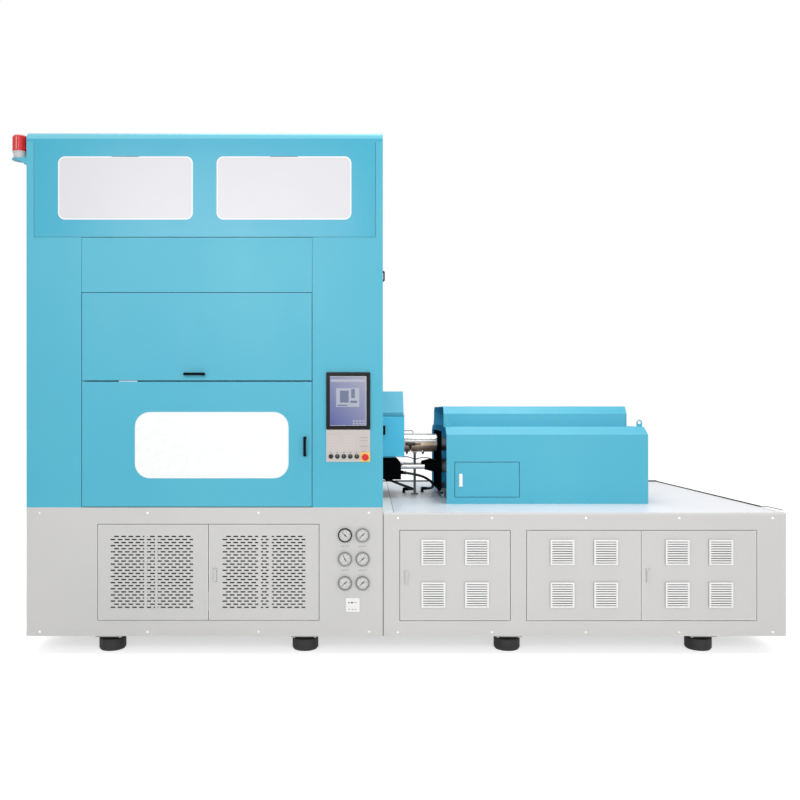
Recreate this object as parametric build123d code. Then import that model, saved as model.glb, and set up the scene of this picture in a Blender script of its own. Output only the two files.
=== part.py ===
from build123d import *
import math
import os

# Injection stretch blow moulding machine: a guarded moulding tower on a grey base, with a low wing
# on its right that carries the injection unit under its own cover.
# Millimetres, +Z up, front face towards -Y. While it is built, X is measured from the tower's left
# side, Y from the front panels and Z from the floor. Every piece is moved together at the end.

# Overall
tower_width = 2210
wing_width = 2500
depth = 2200
foot_height = 115
base_top = 912
deck_top = 880
side_top = 3178
tower_top = 3247
roof_bend = 48

# Sheet metal and clearances
sheet = 3
rim_depth = 20
panel_gap = 4
cover_seam = 2
fit = 0.05
rest_gap = 0.3
base_seam = 3

# Doors
door_depth = 14
pivot_in = 6
pivot_back = 7
pin_radius = 3
pin_reach = 3

# Tower front
left_panel_width = 340
right_panel_width = 437
header_bottom = 2588
header_margin = 45
flap_top = 2247
flap_bottom = 1700
door_top = 1692
door_bottom = 917
header_window_side = 195.5
header_window_between = 147
header_window_height = 392
header_window_bottom = 2697
header_window_corner = 43
door_window_height = 411
door_window_bottom = 1093
door_window_left = 332
door_window_right = 148
door_window_corner = 93
pane_thickness = 5
pane_lap = 15
pane_set_back = 0.5
bolt_radius = 5
bolt_in = 60
lug_side = 9
lug_back = 7
strap_half = 40
flap_handle_length = 128
flap_handle_rise = 39
flap_handle_shift = 14
door_handle_length = 120
door_handle_rise = 374
door_handle_inset = 46
handle_width = 16
handle_proud = 36
handle_bar = 12
handle_chamfer = 10
side_handle_length = 85
side_handle_y = 1300
side_handle_z = 2570

# Operator panel, from the tower's right edge
panel_right = 79
bezel_width = 272
bezel_bottom = 1395
bezel_height = 355
bezel_proud = 14
screen_width = 226
screen_height = 306
screen_recess = 2
bezel_corner = 6
wiring_inset = 20
wiring_low = 15
plate_bottom = 1195
plate_proud = 8
control_z = 1229
control_pitch = 40
first_control = 29
control_ring = 14.5
control_cap = 11
control_stem = 5
stem_back = 2
ring_proud = 5
cap_proud = 8
grip_proud = 16
grip_half = 3
grip_reach = 9
selector_count = 4
button_travel = 4
stop_radius = 21
stop_travel = 6
stop_plate = 60
stop_height = 27
stop_head = 12
stop_round = 5
stop_neck = 12.6

# Gauges and socket, from the tower's right edge
gauge_radius = 43.5
gauge_wall = 5
gauge_proud = 14
gauge_columns = [235, 126]
gauge_rows = [741, 593, 444]
needle_length = 28
needle_spindle = 1.5
needle_half = 2
needle_tail = 8
needle_tip = 0.8
needle_front = 2.2
needle_back = 0.8
needle_seat = 1.5
hub_radius = 4
hub_front = 3.2
needle_angles = [-45, -135, -30, -135, -135, -135]
socket_size = 86
socket_z = 309
socket_in = 187
socket_proud = 9
socket_corner = 5
socket_hole_depth = 5
socket_hole_long = 9
socket_hole_short = 2.5
socket_upright_holes = [(-9, -14), (9, -14), (-8, 18), (8, 18)]
socket_level_hole = (0, -28)

# Tower base doors
vent_left = 440
vent_right_margin = 394
vent_bottom = 211
vent_top = 810
vent_slot_height = 8
vent_row_pitch = 19.1
vent_rows = 24
vent_first_row = 293
vent_slot_length = 78
vent_slot_pitch = 102
vent_slot_inset = 85

# Wing base doors, from the tower's right edge
wing_door_bottom = 208
wing_door_top = 772
door_a_left = 103
door_between = 98
door_right_margin = 180
door_parts = [689, 712, 718]
grille_width = 148
grille_height = 156
grille_proud = 8
grille_frame = 9
louvre_count = 9
louvre_thickness = 2.5
louvre_drop = 6
grille_spacing = 270
grille_low_z = 370
grille_high_z = 634

# Latches
latch_width = 23
latch_height = 87
latch_base = 4
latch_rise = 4.7
latch_lever = 15
latch_thick = 4
latch_pin = 2
latch_ear = 3
latch_slack = 0.4
latch_side_gap = 1
latch_top_gap = 2
latch_low_gap = 4
latch_lip = 6
latch_lip_proud = 3
vent_latch_in = 43
vent_latch_z = 494.5
louvre_latch_a_in = 43
louvre_latch_a_z = 477.5
louvre_latch_c_in = 40
louvre_latch_c_z = 490.5
cover_latch_in = 42
cover_latch_z = 1041

# Feet and base frame
foot_radius = 82.5
foot_neck = 60
foot_shoulder = 78
foot_chamfer = 8
foot_edge = 12
foot_round = 6
foot_rise = 4
foot_plate = 150
foot_plate_thick = 10
tower_feet_in = [489, 492]
wing_feet_in = [792, 487]
foot_inset = 145
beam = 100
beam_wall = 6
beam_air = 15
bed_thick = 40
bed_side = 10
bed_end = 25
frame_side = 20
wing_frame_side = 27
deck_sheet = 5
deck_lip = 12

# What the base holds: the places are shares of the tank's length
tank_front = 700
tank_rear = 300
tank_height = 330
lid_inset = 20
lid_thick = 12
motor_share = [0.11, 0.42]
cradle_share = [0.15, 0.38]
pump_share = 0.54
manifold_share = [0.62, 0.87]
motor_y = 1000
motor_radius = 125
motor_lift = 130
pump_radius = 70
cradle_half = 80
cradle_height = 20
manifold_front = 850
manifold_depth = 200
manifold_height = 150
rack_front = 500
rack_sheet = 5
rack_height = 560
module_in = 60
module_pitch = 190
drive_module = [120, 160, 290, 520]
relay_module = [150, 80, 60, 200]

# Beacon
beacon_x = -64
beacon_y = 60
beacon_base_radius = 41
beacon_base_height = 43
beacon_radius = 45
beacon_height = 107
bracket_top = 3087
bracket_reach = 113
bracket_width = 100
bracket_drop = 46
bracket_round = 48
bracket_web_in = 48
bracket_web_end = 8
lens_chamfer = 3
lens_foot = 6
lens_crown = 12
lens_crown_in = 10
lens_cap = 2
lens_cap_in = 18

# Mould area
table_y = 1100
station_share = 0.2036
cavity_pitch = 110
cavity_count = 4
tie_spread = 600
tie_radius = 45
tie_nut = 75
tie_nut_height = 60
tie_end = 30
table_radius = 700
table_bottom = 1530
table_thick = 60
neck_radius = 15
spindle_radius = 60
spindle_collar = 90
collar_height = 40
spindle_air = 15
platen_bottom = 1930
platen_thick = 80
platen_half = 700
platen_travel = 300
core_radius = 11
core_length = 300
top_platen_bottom = 2560
top_platen_thick = 120
ram_radius = 70
piston_radius = 99.9
piston_thick = 30
cylinder_inner = 100
cylinder_outer = 130
cylinder_height = 370
cylinder_cap = 30
stretch_radius = 7
stretch_bottom = 1900
stretch_travel = 280
stretch_air = 40
stretch_plate_thick = 20
stretch_plate_half = 55
stretch_plate_end = 90
stretch_post_radius = 12
stretch_post_gap = 60
stretch_post_end = 30
mould_top_gap = 4
mould_height = 310
mould_width = 130
mould_length = 460
mould_open = 90
bottle_radius = 36
bottle_neck = 14
bottle_height = 210
bottle_shoulder = 60
bottle_foot = 6
bottle_foot_rise = 8
bottle_neck_height = 20
core_air = 4
slide_radius = 30
ram_engaged = 25
blow_cylinder_radius = 60
blow_cylinder_wall = 15
blow_wall_gap = 75
pedestal_in = 20
pedestal_half = 40
pedestal_lap = 10
pedestal_seat = 5
bed_web = 30
station_plate = 60
runner_height = 100
runner_width = 260
runner_length = 520

# Injection unit
barrel_z = 1266
barrel_radius = 55
barrel_bore = 30
nozzle_length = 115
nozzle_radius = 12
nozzle_bore = 4
barrel_taper = 20
barrel_step = 8
bore_end = 10
bore_cone = 30
barrel_behind = 325
band_radius = 64
band_width = 80
band_gap = 9
band_start = 20
screw_core = 19
screw_pitch = 60
screw_land = 8
screw_shaft = 24
screw_end_in = 10
front_plate_left = 425
front_plate_thick = 15
carriage_bottom = 925
carriage_width = 540
carriage_length = 705
carriage_top = 1364
carriage_floor = 25
carriage_travel = 150
rear_plate_thick = 40
drive_radius = 140
drive_length = 360
rail_height = 25
rail_width = 40
rail_spread = 200
rail_start = 5
slider_length = 120
slider_in = 20
slider_half = 45
slider_air = 8
rod_radius = 16
rod_height = 1102
rod_length = 644
thrust_cylinder = 40
gland_length = 105
gland_nose = 20
gland_straight = 40
gland_step = 4
thrust_wall = 10

# Injection cover, from the tower's right side
cover_left = 440
cover_length = 1370
cover_front = 464
cover_shoulder_z = 1351
cover_shelf_z = 1402
cover_shelf_in = 87
hump_front = 680
hump_edge_z = 1492
hump_top_z = 1544
hump_chamfer = 40
hump_length = 1293
cover_door_left = 54
cover_door_width = 442
cover_door_bottom = 924
cover_door_top = 1166
eye_width = 37
eye_height = 48
eye_thick = 8
eye_bar = 7
eye_in_left = 24
eye_in_right = 22
eye_in_y = 116

# Nozzle guard on the tower's right side
guard_front = 800
guard_back = 1400
guard_width = 163
guard_bottom = 1184
guard_split = 1477
guard_top = 1656
guard_slope = 130
guard_sill = 23
guard_hole = 80
guard_handle_length = 65
guard_handle_in = 18
guard_handle_drop = 100
guard_overlap = 1
guard_lug_side = 3
guard_lug_back = 2
guard_return = 4
opening_front = 850
opening_back = 1350
opening_bottom = 1190
opening_top = 1640
block_height = 164
block_width = 146
block_chamfer = 50
block_half = 260

# Hoses: route points of the two hydraulic hoses on the deck, X from the tower's right side
hose_radius = 9.5
hose_fitting = 14
hose_fitting_length = 24
hose_ease = 0.45
elbow_reach = 14
elbow_radius = 11
hose_front_route = [(52, 1000, 1003), (140, 1000, 966), (215, 1035, 937), (250, 1110, 918),
                    (238, 1185, 909), (195, 1206, 909)]
hose_rear_route = [(166, 1000, 1052), (260, 1000, 1040), (340, 1015, 1012), (398, 1075, 965),
                   (400, 1165, 925), (384, 1245, 909), (340, 1262, 909)]

# Places worked out from the sizes above
machine_width = tower_width + wing_width
wing_left = tower_width + base_seam
access_right = tower_width - right_panel_width
header_window_width = (tower_width - 2 * header_window_side - header_window_between) / 2
bezel_left = tower_width - panel_right - bezel_width
vent_right = tower_width - vent_right_margin
vent_door_width = (vent_right - vent_left) / 2
door_field = wing_width - door_a_left - door_between - door_right_margin
door_widths = [door_field * part / sum(door_parts) for part in door_parts]
door_a = (tower_width + door_a_left, tower_width + door_a_left + door_widths[0])
door_b = (door_a[1] + door_between, door_a[1] + door_between + door_widths[1])
door_c = (door_b[1], door_b[1] + door_widths[2])
foot_xs = [tower_feet_in[0], tower_width - tower_feet_in[1], tower_width + wing_feet_in[0],
           machine_width - wing_feet_in[1]]
cover_x = tower_width + cover_left
guard_right = tower_width + guard_width
front_plate_x = tower_width + front_plate_left
block_top = guard_bottom - panel_gap - sheet - rest_gap
table_x = tower_width / 2
station_radius = round(station_share * tower_width)
injection_x = table_x + station_radius
blow_x = table_x - station_radius
mould_top = table_bottom - mould_top_gap
mould_bottom = mould_top - mould_height
cavity_ys = [table_y + (i - (cavity_count - 1) / 2) * cavity_pitch for i in range(cavity_count)]
blow_reach = mould_open + mould_width + mould_open + slide_radius
blow_cylinder_length = blow_x - blow_reach - blow_wall_gap
platen_top = platen_bottom + platen_thick
stretch_plate_z = platen_top + stretch_travel + stretch_air
top_platen_top = top_platen_bottom + top_platen_thick
ram_top = top_platen_top + platen_travel + piston_thick + pin_reach
stop_z = plate_bottom + stop_plate / 2
first_control_x = bezel_left + first_control
stop_x = bezel_left + bezel_width - stop_plate / 2
barrel_left = injection_x + runner_width / 2 + nozzle_length
barrel_right = front_plate_x + barrel_behind
band_count = int((front_plate_x - barrel_left - band_start) / (band_width + band_gap))
hose_front_points = [(tower_width + x, y, z) for x, y, z in hose_front_route]
hose_rear_points = [(tower_width + x, y, z) for x, y, z in hose_rear_route]


# Shape helpers
on_end = (Align.CENTER, Align.CENTER, Align.MIN)


def block(x0, x1, y0, y1, z0, z1):
    return Pos(x0, y0, z0) * Box(x1 - x0, y1 - y0, z1 - z0, align=(Align.MIN,) * 3)


def rod_x(x0, x1, y, z, radius):
    return Pos(x0, y, z) * Rot(0, 90, 0) * Cylinder(radius, x1 - x0, align=on_end)


def rod_y(x, y0, y1, z, radius):
    return Pos(x, y0, z) * Rot(-90, 0, 0) * Cylinder(radius, y1 - y0, align=on_end)


def rod_z(x, y, z0, z1, radius):
    return Pos(x, y, z0) * Cylinder(radius, z1 - z0, align=on_end)


def front_slab(x0, x1, z0, z1, y0, y1, corner):
    plane = Plane(origin=((x0 + x1) / 2, y1, (z0 + z1) / 2), x_dir=(1, 0, 0), z_dir=(0, -1, 0))
    return extrude(plane * RectangleRounded(x1 - x0, z1 - z0, corner), y1 - y0)


# A Y-Z outline pushed along X
def side_prism(points, x0, x1):
    plane = Plane(origin=(x0, 0, 0), x_dir=(0, 1, 0), z_dir=(1, 0, 0))
    return extrude(plane * make_face(Polyline(*points, close=True)), x1 - x0)


# Flat sheets along a Y-Z line, mitred where they meet
def sheet_panels(line, x0, x1):
    inner = moved_line(line, sheet)
    corners = [(line[i], line[i + 1], inner[i + 1], inner[i]) for i in range(len(line) - 1)]
    return [side_prism(points, x0, x1) for points in corners]


# An X-Z outline pushed along Y
def front_prism(points, y0, y1):
    plane = Plane(origin=(0, y1, 0), x_dir=(1, 0, 0), z_dir=(0, -1, 0))
    return extrude(plane * make_face(Polyline(*points, close=True)), y1 - y0)


# An open line moved by a thickness to the right of travel
def moved_line(line, thickness):
    inner = []
    for i, point in enumerate(line):
        normals = []
        for a, b in ((i - 1, i), (i, i + 1)):
            if a < 0 or b >= len(line):
                continue
            dx, dy = line[b][0] - line[a][0], line[b][1] - line[a][1]
            size = math.hypot(dx, dy)
            normals.append((dy / size, -dx / size))
        nx = sum(n[0] for n in normals) / len(normals)
        ny = sum(n[1] for n in normals) / len(normals)
        square = nx * nx + ny * ny
        inner.append((point[0] + nx / square * thickness, point[1] + ny / square * thickness))
    return inner


# The closed outline of a sheet that follows an open line
def sheet_outline(line, thickness):
    return list(line) + moved_line(line, thickness)[::-1]


def group(solids):
    return Compound(children=[s for shape in solids for s in shape.solids()])


def joined(solids):
    shapes = list(solids)
    return shapes[0].fuse(*shapes[1:]) if len(shapes) > 1 else shapes[0]


# A rim folded back around a rectangle; a positive wall lies outside it, a negative one inside
def rim(x0, x1, z0, z1, y0, wall):
    grow = max(wall, 0)
    cut = min(wall, 0)
    outer = block(x0 - grow, x1 + grow, y0, y0 + rim_depth, z0 - grow, z1 + grow)
    return outer - block(x0 - cut, x1 + cut, y0 - 1, y0 + rim_depth + 1, z0 - cut, z1 + cut)


# Where a side-hung door turns, for its skin's left and right edges
def pivot_x(x0, x1, hinge):
    return x0 + pivot_in if hinge == "left" else x1 - pivot_in


# The pin holes of one side-hung door in the folds above and below it
def pin_holes(x0, x1, z0, z1, y0, hinge):
    reach = panel_gap + sheet + pin_reach + 1
    x = pivot_x(x0, x1, hinge)
    below = rod_z(x, y0 + pivot_back, z0 - reach, z0 - 1, pin_radius + fit)
    above = rod_z(x, y0 + pivot_back, z1 + 1, z1 + reach, pin_radius + fit)
    return [below, above]


# A door folded from one sheet, with its two hinge pins
def door_pan(x0, x1, z0, z1, y0, hinge):
    pan = block(x0, x1, y0, y0 + door_depth, z0, z1)
    pan -= block(x0 + sheet, x1 - sheet, y0 + sheet, y0 + door_depth + 1, z0 + sheet, z1 - sheet)
    reach = panel_gap + sheet + pin_reach
    x = pivot_x(x0, x1, hinge)
    low = rod_z(x, y0 + pivot_back, z0 - reach, z0 + sheet, pin_radius)
    high = rod_z(x, y0 + pivot_back, z1 - sheet, z1 + reach, pin_radius)
    return joined([pan, low, high])


# A bow handle on a face at y, standing out to -Y
def bow_handle(x, z, length, upright, y):
    half = length / 2
    across = handle_width / 2
    bend = half - handle_chamfer
    shoulder = handle_chamfer - handle_proud
    inside = half - handle_width
    under = handle_bar - handle_proud
    outline = [(-half, 0), (-half, shoulder), (-bend, -handle_proud), (bend, -handle_proud), (half, shoulder),
               (half, 0), (inside, 0), (inside, under), (-inside, under), (-inside, 0)]
    handle = Pos(0, 0, -across) * extrude(make_face(Polyline(*outline, close=True)), handle_width)
    if upright:
        handle = Rot(0, 90, 0) * handle
    return Pos(x, y, z) * handle


# Latch pieces: a base with two ears on a door's skin, and the lever that lifts out of it
def latch_pivot(x, z, y):
    return (x, y - latch_base - latch_rise, z + latch_height / 2 - latch_rise - latch_top_gap)


def latch_mount(x, z, y):
    px, py, pz = latch_pivot(x, z, y)
    half = latch_width / 2
    base = block(x - half, x + half, y - latch_base, y, z - latch_height / 2, z + latch_height / 2)
    ears = []
    for side in (-1, 1):
        inner = x + side * (latch_lever / 2 + latch_side_gap)
        outer = inner + side * latch_ear
        low, high = min(inner, outer), max(inner, outer)
        ears.append(block(low, high, py - latch_rise, y, pz - latch_rise, pz + latch_rise))
    holes = rod_x(x - half - 1, x + half + 1, py, pz, latch_pin + fit)
    return joined([base] + ears) - holes


def latch_handle(x, z, y):
    px, py, pz = latch_pivot(x, z, y)
    half = latch_lever / 2
    low = z - latch_height / 2 + latch_low_gap
    face = py - latch_rise + latch_slack
    reach = half + latch_side_gap + latch_ear
    eye = rod_x(x - half, x + half, py, pz, latch_rise - latch_slack)
    blade = block(x - half, x + half, face, face + latch_thick, low, pz)
    lip_face = py - latch_rise - latch_lip_proud
    lip = block(x - half, x + half, lip_face, face + latch_thick, low, low + latch_lip)
    pin = rod_x(x - reach, x + reach, py, pz, latch_pin)
    return joined([eye, blade, lip, pin])


# A front sheet with rims folded round its outside and its openings
def pierced_front(x0, x1, z0, z1, openings):
    sheet_metal = block(x0, x1, 0, sheet, z0, z1) + rim(x0, x1, z0, z1, 0, -sheet)
    for a, b, c, d in openings:
        sheet_metal += rim(a, b, c, d, 0, sheet)
        sheet_metal -= block(a, b, -1, rim_depth + 1, c, d)
    return sheet_metal


# Skin edges of each side-hung door: left, right, bottom, top, front, hinge side
doors = {
    "vent_door_left": (vent_left + panel_gap, vent_left + vent_door_width - panel_gap / 2,
                       vent_bottom + panel_gap, vent_top - panel_gap, 0, "left"),
    "vent_door_right": (vent_left + vent_door_width + panel_gap / 2, vent_right - panel_gap,
                        vent_bottom + panel_gap, vent_top - panel_gap, 0, "right"),
    "louvre_door_a": (door_a[0] + panel_gap, door_a[1] - panel_gap,
                      wing_door_bottom + panel_gap, wing_door_top - panel_gap, 0, "right"),
    "louvre_door_b": (door_b[0] + panel_gap, door_b[1] - panel_gap / 2,
                      wing_door_bottom + panel_gap, wing_door_top - panel_gap, 0, "left"),
    "louvre_door_c": (door_c[0] + panel_gap / 2, door_c[1] - panel_gap,
                      wing_door_bottom + panel_gap, wing_door_top - panel_gap, 0, "right"),
    "cover_door": (cover_x + cover_door_left + panel_gap,
                   cover_x + cover_door_left + cover_door_width - panel_gap,
                   cover_door_bottom + panel_gap, cover_door_top - panel_gap, cover_front, "right"),
    "guard_door": (tower_width + panel_gap, guard_right + panel_gap + guard_overlap,
                   guard_bottom, guard_split - panel_gap, guard_front, "right"),
    "lower_door": (left_panel_width + panel_gap, access_right - panel_gap,
                   door_bottom, door_top, 0, "left"),
}

# Latch centres: x, z, front
latches = {
    "vent_latch": (vent_left + vent_door_width + vent_latch_in, vent_latch_z, 0),
    "louvre_latch_a": (door_a[0] + louvre_latch_a_in, louvre_latch_a_z, 0),
    "louvre_latch_c": (door_c[0] + louvre_latch_c_in, louvre_latch_c_z, 0),
    "cover_latch": (cover_x + cover_door_left + cover_latch_in, cover_latch_z, cover_front),
}


# Base
def base_frame():
    front = foot_inset - beam / 2
    back = depth - foot_inset - beam / 2
    low = foot_height + foot_plate_thick
    bed_under = base_top - bed_thick
    deck_under = deck_top - deck_sheet
    wing_start = wing_left + wing_frame_side
    wing_end = machine_width - frame_side - beam
    pieces = [block(bed_side, tower_width - bed_side, bed_end, depth - bed_end, bed_under, base_top)]
    for y in (front, back):
        pieces.append(beam_x(frame_side, machine_width - frame_side, y, low))
        pieces.append(beam_x(wing_start + beam, wing_end, y, deck_under - beam))
        for x in (frame_side, tower_width - frame_side - beam):
            pieces.append(beam_z(x, y, low + beam, bed_under))
        for x in (wing_start, wing_end):
            pieces.append(beam_z(x, y, low + beam, deck_under))
    for x in foot_xs:
        pieces.append(beam_y(x - beam / 2, front + beam, back, low))
        for y in (foot_inset, depth - foot_inset):
            half = foot_plate / 2
            pieces.append(block(x - half, x + half, y - half, y + half, foot_height, low))
    for x in (wing_start, wing_end):
        pieces.append(beam_y(x, front + beam, back, deck_under - beam))
    for y in (table_y - rail_spread, table_y + rail_spread):
        pieces.append(beam_x(wing_start + beam, wing_end, y - beam / 2, deck_under - beam))
    return group(pieces)


def beam_x(x0, x1, y, z):
    inner = block(x0 - 1, x1 + 1, y + beam_wall, y + beam - beam_wall, z + beam_wall, z + beam - beam_wall)
    return block(x0, x1, y, y + beam, z, z + beam) - inner


def beam_y(x, y0, y1, z):
    inner = block(x + beam_wall, x + beam - beam_wall, y0 - 1, y1 + 1, z + beam_wall, z + beam - beam_wall)
    return block(x, x + beam, y0, y1, z, z + beam) - inner


def beam_z(x, y, z0, z1):
    inner = block(x + beam_wall, x + beam - beam_wall, y + beam_wall, y + beam - beam_wall, z0 - 1, z1 + 1)
    return block(x, x + beam, y, y + beam, z0, z1) - inner


def levelling_feet():
    profile = [(0, 0), (foot_radius - foot_chamfer, 0), (foot_radius, foot_edge),
               (foot_radius, foot_shoulder - foot_round), (foot_radius - foot_round, foot_shoulder),
               (foot_neck, foot_shoulder + foot_rise), (foot_neck, foot_height), (0, foot_height)]
    foot = revolve(Plane.XZ * make_face(Polyline(*profile, close=True)), Axis.Z)
    return group([Pos(x, y, 0) * foot for x in foot_xs for y in (foot_inset, depth - foot_inset)])


def tower_base_panels():
    opening = (vent_left, vent_right, vent_bottom, vent_top)
    front = pierced_front(0, tower_width, foot_height, base_top, [opening])
    for name in ("vent_door_left", "vent_door_right"):
        front = front - joined(pin_holes(*doors[name]))
    lower = doors["lower_door"]
    pin_x = pivot_x(lower[0], lower[1], "left")
    front -= rod_z(pin_x, pivot_back, base_top - sheet - 1, base_top + 1, pin_radius + fit)
    side = block(0, sheet, sheet, depth - sheet, foot_height, base_top) - block(
        -1, sheet + 1, sheet - 1, rim_depth, foot_height - 1, base_top + 1)
    back = block(0, tower_width, depth - sheet, depth, foot_height, base_top)
    over_beams = foot_height + foot_plate_thick + beam + beam_air
    right = block(tower_width - sheet, tower_width, rim_depth, depth - sheet, over_beams, base_top)
    return group([front, side, back, right])


def deck_base_panels():
    top = deck_top - deck_lip
    openings = [(door_a[0], door_a[1], wing_door_bottom, wing_door_top),
                (door_b[0], door_c[1], wing_door_bottom, wing_door_top)]
    front = pierced_front(wing_left, machine_width, foot_height, top, openings)
    for name in ("louvre_door_a", "louvre_door_b", "louvre_door_c"):
        front = front - joined(pin_holes(*doors[name]))
    side = block(machine_width - sheet, machine_width, rim_depth, depth - sheet, foot_height, top)
    back = block(wing_left, machine_width, depth - sheet, depth, foot_height, top)
    return group([front, side, back])


# The elbow that takes a hose's end down through the deck
def deck_elbow(points):
    end, before = Vector(*points[-1]), Vector(*points[-2])
    direction = (end - before).normalized()
    turn = end + direction * elbow_reach
    nut = Plane(origin=end, z_dir=direction) * Cylinder(hose_fitting, elbow_reach, align=on_end)
    post = rod_z(turn.X, turn.Y, deck_top, turn.Z, elbow_radius)
    flange = rod_z(turn.X, turn.Y, deck_top, deck_top + sheet, hose_fitting)
    return joined([nut, post, Pos(turn.X, turn.Y, turn.Z) * Sphere(elbow_radius), flange])


def deck_plate():
    plate = block(wing_left, machine_width, 0, depth, deck_top - deck_lip, deck_top)
    plate -= block(wing_left + sheet, machine_width - sheet, sheet, depth - sheet, 0, deck_top - deck_sheet)
    pieces = [plate]
    for y in (table_y - rail_spread, table_y + rail_spread):
        left = front_plate_x + front_plate_thick + rail_start
        right = front_plate_x + carriage_length + carriage_travel + rear_plate_thick
        half = rail_width / 2
        pieces.append(block(left, right, y - half, y + half, deck_top, deck_top + rail_height))
    for points in (hose_front_points, hose_rear_points):
        pieces.append(deck_elbow(points))
    return group(pieces)


# Tower covers
def side_cover(mirrored):
    front_width = tower_width - access_right if mirrored else left_panel_width
    outline = [(0, base_top), (front_width, base_top), (front_width, header_bottom),
               (header_margin, header_bottom), (header_margin, side_top), (0, side_top)]
    front = front_prism(outline, 0, sheet)
    side = block(0, sheet, 0, depth - sheet, base_top, side_top)
    fold = block(front_width - sheet, front_width, 0, rim_depth, base_top, header_bottom)
    back = block(0, rim_depth, depth - 2 * sheet, depth - sheet, base_top, side_top)
    return joined([front, side, fold, back])


def flap_pin_z():
    return flap_top - panel_gap - pivot_in


def tower_left_cover():
    cover = side_cover(False)
    edge = left_panel_width
    cover -= rod_x(edge - sheet - 1, edge + 1, pivot_back, flap_pin_z(), pin_radius + fit)
    lower = doors["lower_door"]
    x = pivot_x(lower[0], lower[1], "left")
    middle = (flap_bottom + door_top) / 2
    lug = block(edge - sheet, x + lug_side, 0, pivot_back + lug_back, middle - sheet / 2, middle + sheet / 2)
    lug -= rod_z(x, pivot_back, middle - sheet, middle + sheet, pin_radius + fit)
    return joined([cover, lug])


def tower_right_cover():
    cover = Pos(tower_width, 0, 0) * mirror(side_cover(True), about=Plane.YZ)
    cover -= rod_x(access_right - 1, access_right + sheet + 1, pivot_back, flap_pin_z(), pin_radius + fit)
    cover -= block(tower_width - sheet - 1, tower_width + 1, opening_front, opening_back,
                   opening_bottom, opening_top)
    cut_left = bezel_left + wiring_inset
    cut_right = bezel_left + bezel_width - wiring_inset
    cut_top = bezel_bottom + bezel_height - wiring_inset
    cover -= block(cut_left, cut_right, -1, sheet + 1, plate_bottom + wiring_low, cut_top)
    handle = Pos(tower_width, side_handle_y, side_handle_z) * Rot(0, 0, 90) * bow_handle(
        0, 0, side_handle_length, True, 0)
    return group([cover, handle])


def tower_rear_panels():
    seam = tower_width / 2
    gap = cover_seam / 2
    y0 = depth - sheet
    left = block(0, seam - gap, y0, depth, base_top, side_top)
    right = block(seam + gap, tower_width, y0, depth, base_top, side_top)
    strap = block(seam - strap_half, seam + strap_half, y0 - sheet, y0, base_top, side_top)
    return group([left, right, strap])


def window_hole(x0, x1, z0, z1, corner):
    return front_slab(x0, x1, z0, z1, -1, sheet + 1, corner)


# A pane held behind its opening, with a step that fills it
def window_pane(x0, x1, z0, z1, corner):
    step = front_slab(x0 + rest_gap, x1 - rest_gap, z0 + rest_gap, z1 - rest_gap, pane_set_back, sheet,
                      corner - rest_gap)
    back = front_slab(x0 - pane_lap, x1 + pane_lap, z0 - pane_lap, z1 + pane_lap,
                      sheet, sheet + pane_thickness, corner + pane_lap)
    return joined([step, back])


def header_window_edges():
    high = header_window_bottom + header_window_height
    lefts = [header_window_side, header_window_side + header_window_width + header_window_between]
    return [(x, x + header_window_width, header_window_bottom, high, header_window_corner) for x in lefts]


def roof_cover():
    left = header_margin + cover_seam
    right = tower_width - header_margin - cover_seam
    header = block(left, right, 0, sheet, header_bottom + cover_seam, side_top + sheet)
    for edges in header_window_edges():
        header -= window_hole(*edges)
    solid = block(0, tower_width, 0, depth, side_top, tower_top)
    front_edge = solid.edges().filter_by(Axis.X).group_by(Axis.Z)[-1].sort_by(Axis.Y)[0]
    solid = fillet(front_edge, roof_bend)
    hollow = block(sheet, tower_width - sheet, sheet, depth - sheet, side_top - 1, tower_top - sheet)
    inner_edge = hollow.edges().filter_by(Axis.X).group_by(Axis.Z)[-1].sort_by(Axis.Y)[0]
    hollow = fillet(inner_edge, roof_bend - sheet)
    return joined([solid - hollow, header])


def header_windows():
    return group([window_pane(*edges) for edges in header_window_edges()])


def upper_panel():
    left = left_panel_width + cover_seam
    right = access_right - cover_seam
    low = flap_top
    high = header_bottom - cover_seam
    pan = block(left, right, 0, door_depth, low, high)
    pan -= block(left + sheet, right - sheet, sheet, door_depth + 1, low + sheet, high - sheet)
    bolts = []
    for z in (low + bolt_in, high - bolt_in):
        bolts.append(rod_x(left - cover_seam, left + sheet, door_depth / 2, z, bolt_radius))
        bolts.append(rod_x(right - sheet, right + cover_seam, door_depth / 2, z, bolt_radius))
    return joined([pan] + bolts)


def upper_flap():
    left = left_panel_width + panel_gap
    right = access_right - panel_gap
    high = flap_top - panel_gap
    pan = block(left, right, 0, door_depth, flap_bottom, high)
    pan -= block(left + sheet, right - sheet, sheet, door_depth + 1, flap_bottom + sheet, high - sheet)
    reach = panel_gap + sheet + pin_reach
    pin_left = rod_x(left - reach, left + sheet, pivot_back, flap_pin_z(), pin_radius)
    pin_right = rod_x(right - sheet, right + reach, pivot_back, flap_pin_z(), pin_radius)
    middle = (left + right) / 2 - flap_handle_shift
    handle = bow_handle(middle, flap_bottom + flap_handle_rise, flap_handle_length, False, 0)
    return group([joined([pan, pin_left, pin_right]), handle])


def door_window_edges():
    left = left_panel_width + door_window_left
    right = access_right - door_window_right
    return (left, right, door_window_bottom, door_window_bottom + door_window_height, door_window_corner)


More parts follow.
